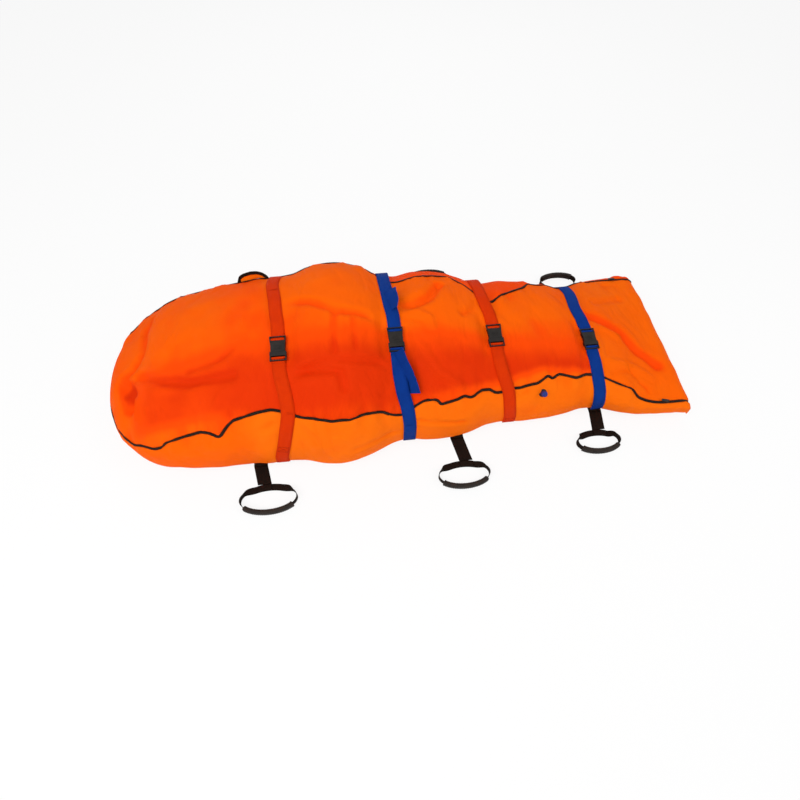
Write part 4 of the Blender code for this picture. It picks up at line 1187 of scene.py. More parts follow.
def lengths_along(points: Sequence[Vector]) -> list[float]:
    """Length along a line up to each of its points."""
    steps = [(second - first).length for first, second in zip(points, points[1:])]
    return list(itertools.accumulate(steps, initial=0.0))


def directions(points: Sequence[Vector]) -> list[Vector]:
    """Direction along a line at each of its points."""
    ends = zip([points[0], *points], [*points[1:], points[-1]])
    return [(after - before).normalized() for before, after in ends]


def even(points: Sequence[Vector], step: float) -> list[Vector]:
    """The same line with its points evenly apart.

    Args:
        points: The line's corners.
        step: The wanted distance.

    Returns:
        The new points, both ends kept.
    """
    lengths = lengths_along(points)
    count = max(round(lengths[-1] / step), 2)
    found, k = [], 0
    for j in range(count + 1):
        goal = lengths[-1] * j / count
        while k < len(points) - 2 and lengths[k + 1] < goal:
            k += 1
        span = max(lengths[k + 1] - lengths[k], 1e-9)
        found.append(points[k].lerp(points[k + 1], (goal - lengths[k]) / span))
    return found


@dataclass
class Ribbon:
    """A flat band that follows a line of places, each with the direction off its face."""

    width: float
    thickness: float
    places: list[Vector] = field(default_factory=list)
    faces_to: list[Vector] = field(default_factory=list)
    leans: list[float] = field(default_factory=list)
    cross_faces: int = 4

    def add(self, place: Vector, face: Vector, lean: float = 0.0) -> None:
        """Add one place, the direction off its face, and a twist about the line in radians.

        Args:
            place: Where it goes.
            face: The direction off its face.
            lean: Its twist in radians.
        """
        self.places.append(place)
        self.faces_to.append(face)
        self.leans.append(lean)

    def mesh(self) -> bmesh.types.BMesh:
        """The band's middle face, with its flat places in metres.

        Returns:
            The mesh.
        """
        last = len(self.places) - 1
        lengths = lengths_along(self.places)
        sides = [Matrix.Rotation(lean, 3, along) @ along.cross(face).normalized()
                 for along, face, lean in zip(directions(self.places), self.faces_to, self.leans)]

        def place(u: float, v: float) -> Vector:
            """The point at shares along and across the band."""
            k = round(u * last)
            return self.places[k] + sides[k] * ((v - 0.5) * self.width)

        def flat(u: float, v: float) -> tuple[float, float]:
            """The flat place at the same shares."""
            return (v - 0.5) * self.width, lengths[round(u * last)]

        return grid(last, self.cross_faces, place, flat)

    def piece(self, name: str, round_edge: float = 0.0) -> bpy.types.Object:
        """The band as a piece with its thickness.

        Args:
            name: The piece's name.
            round_edge: Radius of its edges, or 0.

        Returns:
            The piece.
        """
        made = piece_from(name, self.mesh())
        thicken(made, self.thickness, 0.0)
        if round_edge:
            bevelled(made, round_edge, 2)
        return made


def smoothed(points: Sequence[Vector], times: int) -> list[Vector]:
    """A line eased towards its neighbours, with both ends kept.

    Args:
        points: The line.
        times: How often it is eased.

    Returns:
        The eased line.
    """
    line = list(points)
    for _ in range(times):
        inner = [(a + b * 2 + c) / 4 for a, b, c in zip(line, line[1:], line[2:])]
        line = [line[0], *inner, line[-1]]
    return line


@dataclass
class Swarm:
    """Many small round grains gathered into one mesh, a few at a time."""

    few: int = 24
    count: int = 0
    part: bmesh.types.BMesh = field(default_factory=bmesh.new)
    whole: bmesh.types.BMesh = field(default_factory=bmesh.new)

    def add(self, place: Matrix) -> None:
        """Add one grain, a ball of radius 1 set by a matrix.

        Args:
            place: Where it goes.
        """
        bmesh.ops.create_uvsphere(self.part, u_segments=6, v_segments=4, radius=1.0, matrix=place)
        self.count += 1
        if self.count % self.few == 0:
            self.gather()

    def gather(self) -> None:
        """Move the last few grains into the whole."""
        mesh = bpy.data.meshes.new("grains")
        self.part.to_mesh(mesh)
        self.part.clear()
        self.whole.from_mesh(mesh)
        bpy.data.meshes.remove(mesh)

    def piece(self, name: str) -> bpy.types.Object:
        """The grains as one piece.

        Args:
            name: The piece's name.

        Returns:
            The piece.
        """
        self.gather()
        self.part.free()
        return piece_from(name, self.whole)


@dataclass
class StitchRow:
    """Rows of small raised threads on webbing."""

    pitch: float
    thread: float
    grains: Swarm = field(default_factory=Swarm)

    def line(self, start: Vector, end: Vector, off: Vector) -> None:
        """Sew from one place to another.

        Args:
            start: The first place.
            end: The last place.
            off: The direction off the face.
        """
        along = (end - start).normalized()
        side = off.cross(along).normalized()
        turn = Matrix((along, side, off)).transposed().to_4x4()
        size = Matrix.Diagonal((self.pitch * 0.40, self.thread, self.thread, 1.0))
        count = max(round((end - start).length / self.pitch), 1)
        for k in range(count):
            place = start.lerp(end, (k + 0.5) / count)
            self.grains.add(Matrix.Translation(place) @ turn @ size)

    def box(self, corners: Sequence[Vector], off: Vector) -> None:
        """Sew round four corners and across them."""
        for first, second in ((0, 1), (1, 2), (2, 3), (3, 0), (0, 2), (1, 3)):
            self.line(corners[first], corners[second], off)

    def piece(self, name: str) -> bpy.types.Object:
        """The threads as one piece."""
        return self.grains.piece(name)


# Cross straps


@dataclass(frozen=True)
class StrapPlan:
    """How one cross strap runs: its finishes, its tail, and its place along the bag at angles round it."""

    finish: str
    thread: str
    tail: float
    sway: tuple[tuple[float, float], ...]
    rows: tuple[tuple[float, float], ...] = ()
    boxes: tuple[tuple[float, float], ...] = ()


STRAP_PLANS = (
    StrapPlan("orange_webbing", "orange_thread", 0.190,
              ((53, -0.450), (72, -0.434), (104, -0.419), (123, -0.410), (151, -0.404), (160, -0.420),
               (171, -0.440), (182, -0.462), (200, -0.470)),
              ((0.150, 0.380), (-0.314, 0.290)), ((-0.373, 0.144),)),
    StrapPlan("blue_webbing", "blue_thread", 0.180,
              ((52, -0.046), (84, -0.037), (98, -0.030), (135, -0.030), (147, -0.024), (158, -0.010),
               (170, -0.003), (184, -0.003)),
              ((-0.372, 0.170),)),
    StrapPlan("orange_webbing", "orange_thread", 0.345,
              ((39, 0.312), (67, 0.314), (90, 0.321), (114, 0.332), (137, 0.340), (151, 0.347), (161, 0.360),
               (171, 0.366), (185, 0.379))),
    StrapPlan("blue_webbing", "blue_thread", 0.290,
              ((25, 0.712), (53, 0.696), (90, 0.694), (124, 0.700), (142, 0.706), (154, 0.713), (163, 0.723),
               (170, 0.729), (178, 0.727), (195, 0.734))),
)
# Height of the line that the straps are laid round
HUB = 0.11


@dataclass
class CrossStraps:
    """The four straps over the bag, each a far webbing and a near one that ends in a tail."""

    wardrobe: Wardrobe
    form: BagForm
    tree: BVHTree
    width: float = STRAP_WIDTH
    thickness: float = 0.0018
    first: float = 0.0029
    second: float = 0.0052
    bar_place: float = 0.033
    bar_height: float = 0.0082
    wrap: float = 0.0029
    lift: float = 0.0021
    sewn_height: float = 0.030
    seat_half: float = 0.058
    far_return: float = 0.040
    tail_overlap: float = 0.020
    start_turn: float = math.asin(0.2)
    seat_turn: float = 0.02
    arc_steps: int = 90
    arc_step: float = 0.0085
    flat_step: float = 0.006
    cast_from: float = 0.9
    held_half: float = 0.050
    held_fade: float = 0.10
    box_half: float = 0.014
    row_half: float = 0.0022
    thread_lift: float = 0.0003
    inset: float = 0.005

    def sway(self, k: int, angle: float) -> float:
        """Place along the bag of a strap's middle at an angle round the bag's middle, 0 at the far side.

        Args:
            k: Which one, from 0.
            angle: The angle in radians.

        Returns:
            Place along the bag.
        """
        free = interpolate(STRAP_PLANS[k].sway, math.degrees(angle))
        seat = self.form.seat(k).translation
        away = abs(angle - math.atan2(seat.z - HUB, seat.y)) * math.hypot(seat.y, seat.z - HUB)
        held = 1 - ease((away - self.held_half) / self.held_fade)
        return free * (1 - held) + STRAP_X[k] * held

    def reach(self, x: float, angle: float) -> float:
        """Distance of the bag's face from its middle, the largest over the strap's width.

        Args:
            x: Place along the bag.
            angle: The angle in radians.

        Returns:
            The distance.
        """
        out = Vector((0.0, math.cos(angle), math.sin(angle)))
        found = 0.0
        for part in range(7):
            start = Vector((x + self.width * (part / 6 - 0.5), 0.0, HUB)) + out * self.cast_from
            hit = self.tree.ray_cast(start, -out, self.cast_from)[0]
            if hit is not None:
                found = max(found, self.cast_from - (hit - start).length)
        return found

    def arc(self, k: int, start: float, end: float) -> list[Vector]:
        """The strap's way over the cloth between two angles about the bag's middle.

        Args:
            k: Which strap.
            start: The first angle, 0 at the far side.
            end: The last angle.

        Returns:
            Its points, drawn tight over hollows.
        """
        points: list[Vector] = []
        for j in range(self.arc_steps + 1):
            angle = start + (end - start) * j / self.arc_steps
            x = self.sway(k, angle)
            distance = self.reach(x, angle) + self.lift
            point = Vector((x, math.cos(angle) * distance, HUB + math.sin(angle) * distance))
            while len(points) > 1 and self.sags(points[-2], points[-1], point, end > start):
                points.pop()
            points.append(point)
        return points

    def sags(self, before: Vector, middle: Vector, after: Vector, turns_left: bool) -> bool:
        """Whether the middle point lies inside the tight line past it.

        Args:
            before: The point before.
            middle: The point to judge.
            after: The point past it.
            turns_left: Which way the line turns.

        Returns:
            Whether it does.
        """
        first, second = middle - before, after - middle
        turn = first.y * second.z - first.z * second.y
        return turn < 0 if turns_left else turn > 0

    def seat_place(self, k: int, v: float, n: float) -> Vector:
        """A point of a buckle's seat, v up the strap and n off the cloth."""
        return self.form.seat(k) @ Vector((0.0, v, n))

    def wrap_points(self, k: int, side: int) -> list[Vector]:
        """The way round the buckle's bar from the lower layer to the upper one.

        Args:
            k: Which one, from 0.
            side: 1 for the far side, -1 for the near one.

        Returns:
            The points.
        """
        places = [(self.bar_place + 0.004, self.first), (self.bar_place - 0.0006, self.first + 0.0001),
                  (self.bar_place - self.wrap + 0.0004, self.first + 0.0012)]
        for step in range(8):
            angle = math.pi * (1.10 - 1.15 * step / 7)
            places.append((self.bar_place + self.wrap * math.cos(angle),
                           self.bar_height + self.wrap * math.sin(angle)))
        places += [(self.bar_place + self.wrap + 0.0014, self.second + 0.0012),
                   (self.bar_place + self.wrap + 0.0034, self.second)]
        return [self.seat_place(k, side * v, n) for v, n in places]

    def rise(self, points: Sequence[Vector], amount: float) -> list[Vector]:
        """The same line moved across itself in the strap's plane by an amount."""
        return [point + X_AXIS.cross(along) * amount for point, along in zip(points, directions(points))]

    def ribbon(self, points: Sequence[Vector], flip: int) -> Ribbon:
        """A band along a line in a strap's plane, its face turned off the bag.

        Args:
            points: The line.
            flip: 1 or -1, the side to which the face turns.

        Returns:
            The band.
        """
        band = Ribbon(self.width, self.thickness)
        for point, along in zip(points, directions(points)):
            band.add(point, X_AXIS.cross(along) * flip)
        return band

    def way(self, k: int, side: int) -> list[Vector]:
        """The lower layer of a strap from its sewn end to the buckle's seat.

        Args:
            k: Which one, from 0.
            side: 1 for the far webbing, -1 for the near one.

        Returns:
            The points.
        """
        seat = self.seat_place(k, side * self.seat_half, self.first)
        start = -self.start_turn if side > 0 else math.pi + self.start_turn
        points = self.arc(k, start, math.atan2(seat.z - HUB, seat.y) - side * self.seat_turn)
        points = [point for point in points if point.z > self.sewn_height]
        return smoothed(even([*points, seat], self.arc_step), 2)

    def webbing(self, k: int, side: int) -> tuple[bpy.types.Object, list[Vector]]:
        """One webbing of a strap: up from its sewn end, round a buckle's bar and back over itself.

        Args:
            k: Which strap.
            side: 1 for the far webbing, which is sewn back, -1 for the near one, which ends in a tail.

        Returns:
            The webbing, and the line of its upper layer.
        """
        lower = self.way(k, side)
        ends = [self.seat_place(k, side * self.far_return, height) for height in (self.first, self.second)]
        run = lower + even([lower[-1], ends[0]], self.flat_step)[1:]
        upper = self.rise(lower[::-1], (self.first - self.second) * side)
        back = even([ends[1], upper[0]], self.flat_step)
        left = self.far_return if side > 0 else STRAP_PLANS[k].tail - self.tail_overlap
        for first, second in zip(back[-1:] + upper[1:], upper[1:]):
            left -= (second - first).length
            if left < 0:
                break
            back.append(second)
        word = "far" if side > 0 else "near"
        line = run + self.wrap_points(k, side) + back
        return self.ribbon(line, -side).piece(f"strap_cloth_{word}_{k + 1}"), back

    def nearest(self, points: Sequence[Vector], y: float, z: float) -> tuple[Vector, Vector]:
        """The place of a line nearest to a height and depth, and the line's direction there."""
        best = min(range(1, len(points) - 1), key=lambda k: (points[k].y - y) ** 2 + (points[k].z - z) ** 2)
        return points[best], (points[best + 1] - points[best - 1]).normalized()

    def sew(self, k: int, ends: Sequence[tuple[Vector, Vector]],
            rows: Sequence[tuple[Vector, Vector]] = ()) -> bpy.types.Object:
        """Box stitches at the given stretches of a strap and double rows across it.

        Args:
            k: Which strap.
            ends: The start and end of each sewn stretch on the outer face.
            rows: The place and direction along the strap of each double row.

        Returns:
            The threads.
        """
        row = StitchRow(0.0046, 0.0006)
        inset = self.width / 2 - self.inset
        for start, end in ends:
            along = (end - start).normalized()
            off = X_AXIS.cross(along).normalized()
            middle = (start + end) / 2
            if off.dot(middle - Vector((middle.x, 0.0, HUB))) < 0:
                off = -off
            side = along.cross(off)
            lift = off * (self.thickness / 2 + self.thread_lift)
            corners = [start + side * inset + lift, end + side * inset + lift,
                       end - side * inset + lift, start - side * inset + lift]
            row.box(corners, off)
        for place, along in rows:
            off = self.tree.find_nearest(place)[1]
            off = (off - along * off.dot(along)).normalized()
            side = along.cross(off) * inset
            for step in (-self.row_half, self.row_half):
                middle = place + along * step + off * (self.thickness / 2 + 0.0004)
                row.line(middle + side, middle - side, off)
        return row.piece(f"strap_stitches_{k + 1}")

    def build(self) -> list[bpy.types.Object]:
        """Make all four straps.

        Returns:
            The pieces.
        """
        made = []
        for k, plan in enumerate(STRAP_PLANS):
            far, far_back = self.webbing(k, 1)
            near, _ = self.webbing(k, -1)
            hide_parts(f"strap_far_{k + 1}")
            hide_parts(f"strap_near_{k + 1}")
            far_low, near_low = self.way(k, 1), self.way(k, -1)
            ends = [(far_back[3], far_back[-1]), (far_low[1], far_low[4]), (near_low[1], near_low[4])]
            for y, z in plan.boxes:
                spot = self.nearest(far_low if y > 0 else near_low, y, z)
                ends.append((spot[0] - spot[1] * self.box_half, spot[0] + spot[1] * self.box_half))
            rows = [self.nearest(far_low if y > 0 else near_low, y, z) for y, z in plan.rows]
            threads = self.sew(k, ends, rows)
            self.wardrobe.dress(threads, plan.thread)
            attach(threads, "bag")
            self.wardrobe.dress(far, plan.finish)
            self.wardrobe.dress(near, plan.finish)
            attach(far, "bag")
            self.seat_place(k, -0.150, 0.0)
            self.seat_place(k, -0.050, 0.0)
            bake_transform(near)
            made += [far, near, threads]
        return made


# Zip


@dataclass
class ZipLine:
    """The zip round the bag: two tapes in one band, a row of teeth and a seam on each side."""

    wardrobe: Wardrobe
    tree: BVHTree
    line: list[Vector]
    half_width: float = 0.0050
    thickness: float = 0.0007
    lift: float = 0.0007
    tooth_pitch: float = 0.0027
    tooth_size: Place3 = (0.0009, 0.0026, 0.0010)
    foot_end: float = 1.076
    tape_step: float = 0.0045
    tooth_lift: float = 0.0004
    seam_pitch: float = 0.0052
    seam_inset: float = 0.0022
    seam_lift: float = 0.0002

    def face(self, point: Vector) -> Vector:
        """Direction off the cloth near a point, averaged over a small patch.

        Args:
            point: The place.

        Returns:
            The direction.
        """
        total = Vector()
        for move in ((0, 0, 0), (0.008, 0, 0), (-0.008, 0, 0), (0, 0.008, 0), (0, -0.008, 0), (0, 0, 0.006)):
            total += self.tree.find_nearest(point + Vector(move))[1]
        return total.normalized()

    def frames(self, step: float) -> list[tuple[Vector, Vector, Vector]]:
        """Places along the zip with the direction along it and off the cloth.

        Args:
            step: Distance between places.

        Returns:
            Place, direction along and direction off, for each.
        """
        inside = [point for point in self.line if point.x < self.foot_end]
        points = smoothed(even(inside, step), 2)
        found = []
        for point, along in zip(points, directions(points)):
            off = self.face(point)
            off = (off - along * off.dot(along)).normalized()
            found.append((point, along, off))
        return found

    def tape(self) -> bpy.types.Object:
        """The two tapes, lying on the cloth.

        Returns:
            The piece.
        """
        frames = self.frames(self.tape_step)
        last = len(frames) - 1

        def place(u: float, v: float) -> Vector:
            """The point at shares along and across the tape.

            Args:
                u: First share.
                v: Second share.

            Returns:
                The point.
            """
            point, along, off = frames[round(u * last)]
            side = off.cross(along)
            aside = point + side * ((v - 0.5) * 2 * self.half_width)
            near, normal, _, _ = self.tree.find_nearest(aside)
            return near + normal * self.lift

        flat = flat_band(2 * self.half_width, last * self.tape_step)
        piece = piece_from("zip_tapes", grid(last, 4, place, flat))
        thicken(piece, self.thickness, 1.0)
        self.wardrobe.dress(piece, "zip_tape")
        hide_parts("zip_tape_lower", "zip_tape_upper")
        return piece

    def teeth(self) -> bpy.types.Object:
        """The closed row of teeth along the middle.

        Returns:
            The piece.
        """
        grains = Swarm()
        size = Matrix.Diagonal((*self.tooth_size, 1.0))
        for point, along, off in self.frames(self.tooth_pitch):
            turn = Matrix((along, off.cross(along), off)).transposed().to_4x4()
            place = Matrix.Translation(point + off * (self.lift + self.thickness + self.tooth_lift))
            grains.add(place @ turn @ size)
        piece = grains.piece("zip_teeth")
        self.wardrobe.dress(piece, "zip_coil")
        return piece

    def seams(self) -> bpy.types.Object:
        """The rows of thread that hold the tapes to the cloth.

        Returns:
            The piece.
        """
        row = StitchRow(self.seam_pitch, 0.0004)
        frames = self.frames(2 * self.seam_pitch)
        for side in (-1, 1):
            spots = []
            for point, along, off in frames:
                aside = point + off.cross(along) * (side * (self.half_width + self.seam_inset))
                near, normal, _, _ = self.tree.find_nearest(aside)
                spots.append((near + normal * self.seam_lift, off))
            for (start, off), (end, _) in zip(spots, spots[1:]):
                row.line(start, end, off)
        piece = row.piece("zip_seams")
        self.wardrobe.dress(piece, "orange_thread")
        return piece

    def build(self) -> list[bpy.types.Object]:
        """Make the zip's pieces.

        Returns:
            The pieces.
        """
        made = [self.tape(), self.teeth(), self.seams()]
        for piece in made:
            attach(piece, "bag")
        return made


# Handles


def tube(name: str, steps: int, around: int, place: Callable[[float, float], Sequence[float]],
         closed: bool = False) -> bpy.types.Object:
    """A tube made of rings, its ends filled unless it closes on itself.

    Args:
        name: The piece's name.
        steps: Faces along it.
        around: Faces round it.
        place: The point for shares along and round it.
        closed: Whether its two ends meet.

    Returns:
        The piece.
    """
    shape = grid(steps, around, place)
    bmesh.ops.remove_doubles(shape, verts=shape.verts, dist=1e-6)
    if not closed:
        edges = [edge for edge in shape.edges if edge.is_boundary]
        bmesh.ops.holes_fill(shape, edges=edges, sides=0)
    bmesh.ops.recalc_face_normals(shape, faces=shape.faces)
    return piece_from(name, shape)


@dataclass
class Handles:
    """The three carrying webs with a drop, a loop and a ribbed grip at each end."""

    wardrobe: Wardrobe
    form: BagForm
    width: float = 0.050
    thick: float = 0.0022
    end_inset: float = 0.012
    gap: float = 0.0003
    lengths: tuple[float, ...] = (0.075, 0.095, 0.081)
    sways: tuple[float, ...] = (-0.016, -0.018, 0.012)
    half_widths: tuple[float, ...] = (0.100, 0.094, 0.082)
    depths: tuple[float, ...] = (0.095, 0.090, 0.081)
    shifts: tuple[float, ...] = (-0.018, 0.018, 0.022)
    loop_width: float = 0.025
    grip_height: float = 0.0290
    grip_thick: float = 0.0185
    twist_end: float = math.radians(64)
    grip_turn: float = math.radians(122)
    ribs: int = 26
    patch_height: float = 0.001544
    lip: float = 0.035
    lip_depth: float = 0.14
    groove: float = 0.11
    roundness: float = 2 / 3.4

    def half_length(self, k: int) -> float:
        """Half the length of the webbing under the bag."""
        return self.form.sizes(WEB_X[k])[0] - self.end_inset

    def hinge(self, k: int, side: int) -> Matrix:
        """Axes of a drop's root: Y points away from the bag."""
        turn = Matrix.Rotation(math.pi if side < 0 else 0.0, 4, "Z")
        return Matrix.Translation((WEB_X[k], side * self.half_length(k), self.thick)) @ turn

    def loop_axes(self, k: int, side: int) -> Matrix:
        """Axes of a loop's root, at the end of its drop."""
        return self.hinge(k, side) @ Matrix.Translation((self.sways[k], self.lengths[k], 0.0))

    def loop_frame(self, k: int, turn: float) -> tuple[Vector, Vector, Vector]:
        """Middle, direction across and direction off the loop's webbing at a turn from its top.

        Args:
            k: Which handle.
            turn: The turn round the loop.

        Returns:
            The middle and the two directions.
        """
        half, depth = self.half_widths[k], self.depths[k] / 2
        place = Vector((half * math.sin(turn) + self.shifts[k], depth * (1 - math.cos(turn)), 0.0))
        out = Vector((math.sin(turn) * depth, -math.cos(turn) * half, 0.0)).normalized()
        away = abs(math.atan2(math.sin(turn), math.cos(turn)))
        start = math.asin((self.width / 2 + abs(self.shifts[k])) / half)
        share = ease((away - start) / (self.twist_end - start))
        twist = math.pi / 2 * share
        rise = (self.grip_height - self.loop_width) / 2 * share
        place.y += self.loop_width / 2 + self.gap
        place.z = self.thick / 2 * math.cos(twist) + self.loop_width / 2 * math.sin(twist) + rise - self.thick
        wide = out * math.cos(twist) + Z_AXIS * math.sin(twist)
        return place, wide, Z_AXIS * math.cos(twist) - out * math.sin(twist)

    def web(self, k: int) -> bpy.types.Object:
        """The webbing under the bag.

        Args:
            k: Which one, from 0.

        Returns:
            The piece.
        """
        end = self.half_length(k)
        band = Ribbon(self.width, self.thick)
        for place in even([Vector((WEB_X[k], -end, self.thick / 2)), Vector((WEB_X[k], end, self.thick / 2))], 0.02):
            band.add(place, Z_AXIS)
        piece = band.piece(f"web_under_{k + 1}")
        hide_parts(f"carry_web_{k + 1}")
        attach(piece, "bag")
        return piece

    def drop(self, k: int, side: int, word: str) -> bpy.types.Object:
        """The webbing between the bag and the loop.

        Args:
            k: Which one, from 0.
            side: 1 for the far side, -1 for the near one.
            word: The side's name.

        Returns:
            The piece.
        """
        axes = self.hinge(k, side)
        start, end = self.gap, self.lengths[k]

        def place(u: float, v: float) -> Vector:
            """The point at shares along and across the drop.

            Args:
                u: First share.
                v: Second share.

            Returns:
                The point.
            """
            ripple = 0.0006 * math.sin(u * math.pi) * math.cos((v - 0.5) * 5)
            x = (v - 0.5) * self.width + self.sways[k] * u
            return axes @ Vector((x, start + (end - start) * u, ripple - self.thick / 2))

        piece = piece_from(f"drop_{word}_{k + 1}", grid(12, 6, place, flat_band(self.width, end)))
        thicken(piece, self.thick - 0.0003, 0.0)
        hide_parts(f"handle_drop_{word}_{k + 1}")
        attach(piece, f"drop_{word}_{k + 1}")
        return piece

    def loop(self, k: int, side: int, word: str) -> bpy.types.Object:
        """The closed band of webbing that carries the grip.

        Args:
            k: Which one, from 0.
            side: 1 for the far side, -1 for the near one.
            word: The side's name.

        Returns:
            The piece.
        """
        axes = self.loop_axes(k, side)

        def place(u: float, v: float) -> Vector:
            """The point at shares round and across the band."""
            middle, wide, _ = self.loop_frame(k, 2 * math.pi * u)
            return axes @ (middle + wide * ((v - 0.5) * self.loop_width))

        shape = grid(96, 4, place, flat_band(self.loop_width, 0.5))
        bmesh.ops.remove_doubles(shape, verts=shape.verts, dist=1e-6)
        piece = piece_from(f"loop_{word}_{k + 1}", shape)
        thicken(piece, self.thick - 0.0002, 0.0)
        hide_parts(f"handle_loop_{word}_{k + 1}")
        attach(piece, f"loop_{word}_{k + 1}")
        return piece

    def patch(self, k: int, side: int, word: str) -> list[bpy.types.Object]:
        """The end of the drop's webbing, sewn over the loop.

        Args:
            k: Which handle.
            side: -1 for the near one, 1 for the far one.
            word: The side's name.

        Returns:
            The patch and its threads.
        """
        axes = self.loop_axes(k, side)
        half, depth = self.width / 2, self.depths[k] / 2

        def bow(x: float) -> float:
            """How far the loop's middle has turned away at a place along it."""
            share = min(abs(x - self.shifts[k]) / self.half_widths[k], 0.95)
            return depth * (1 - math.sqrt(1 - share * share))

        def place(u: float, v: float) -> Vector:
            """The point at shares across and along the patch.

            Args:
                u: First share.
                v: Second share.

            Returns:
                The point.
            """
            x = (u - 0.5) * 2 * half
            y = self.gap * 2 + bow(x) + v * self.loop_width * 0.98
            return axes @ Vector((x, y, self.patch_height))

        def flat(u: float, v: float) -> tuple[float, float]:
            """The flat place at the same shares."""
            return (u - 0.5) * 2 * half, v * self.loop_width

        patch = piece_from(f"loop_patch_{word}_{k + 1}", grid(12, 4, place, flat))
        thicken(patch, self.thick * 0.85, 1.0)
        row = StitchRow(0.0036, 0.0004)
        top = self.thick + 0.0004
        corners = [Vector((x, 0.003 + bow(x) + y, top)) for x, y in
                   ((-half + 0.004, 0.0), (half - 0.004, 0.0), (half - 0.004, 0.019), (-half + 0.004, 0.019))]
        row.box([axes @ corner for corner in corners], Z_AXIS)
        threads = row.piece(f"loop_stitches_{word}_{k + 1}")
        for piece in (patch, threads):
            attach(piece, f"loop_{word}_{k + 1}")
        return [patch, threads]

    def grip(self, k: int, side: int, word: str) -> bpy.types.Object:
        """The ribbed rubber grip with a lip at each end.

        Args:
            k: Which one, from 0.
            side: 1 for the far side, -1 for the near one.
            word: The side's name.

        Returns:
            The piece.
        """
        axes = self.loop_axes(k, side)
        steps = self.ribs * 6 + 12

        def swell(share: float) -> float:
            """How full the grip is along its length: lips, then ribs and grooves.

            Args:
                share: Share along the grip.

            Returns:
                The share of its full size.
            """
            end = min(share, 1 - share)
            if end < self.lip:
                return 1.0 - self.lip_depth * (1 - end / self.lip) ** 2
            wave = 0.5 - 0.5 * math.cos(2 * math.pi * self.ribs * (share - self.lip) / (1 - 2 * self.lip))
            return 1.0 - self.groove * wave ** 0.7

        def place(u: float, v: float) -> Vector:
            """The point at shares along and round the grip.

            Args:
                u: First share.
                v: Second share.

            Returns:
                The point.
            """
            turn = self.grip_turn + 2 * (math.pi - self.grip_turn) * u
            middle, wide, thick = self.loop_frame(k, turn)
            angle = 2 * math.pi * v
            c, s = math.cos(angle), math.sin(angle)
            full = swell(u)
            high = math.copysign(abs(c) ** self.roundness, c) * self.grip_height / 2 * full
            deep = math.copysign(abs(s) ** self.roundness, s) * self.grip_thick / 2 * (full * 1.35 - 0.35)
            return axes @ (middle + wide * high + thick * deep)

        piece = tube(f"grip_{word}_{k + 1}", steps, 24, place)
        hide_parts(f"handle_grip_{word}_{k + 1}")
        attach(piece, f"loop_{word}_{k + 1}")
        return piece

    def build(self) -> list[bpy.types.Object]:
        """Make every web and handle.

        Returns:
            The pieces.
        """
        made = []
        for k in range(len(WEB_X)):
            webbing = [self.web(k)]
            for side, word in ((-1, "near"), (1, "far")):
                patch, threads = self.patch(k, side, word)
                webbing += [self.drop(k, side, word), self.loop(k, side, word), patch, threads]
                grip = self.grip(k, side, word)
                self.wardrobe.dress(grip, "rubber")
                made.append(grip)
            for piece in webbing:
                self.wardrobe.dress(piece, "black_webbing")
            made += webbing
        return made


# Buckles, valve, sliders and filling


def copied(node: str, axes: Matrix | None = None) -> bmesh.types.BMesh:
    """A merged copy of a CAD solid.

    Args:
        node: The solid's name.
        axes: The axes to copy it into; the world's if left out.

    Returns:
        The copy.
    """
    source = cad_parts[node]
    shape = bmesh.new()
    shape.from_mesh(source.data)
    shape.transform(source.matrix_world)
    if axes is not None:
        shape.transform(axes.inverted())
    bmesh.ops.remove_doubles(shape, verts=shape.verts, dist=1e-5)
    bmesh.ops.dissolve_limit(shape, angle_limit=math.radians(0.6), verts=shape.verts, edges=shape.edges)
    return shape


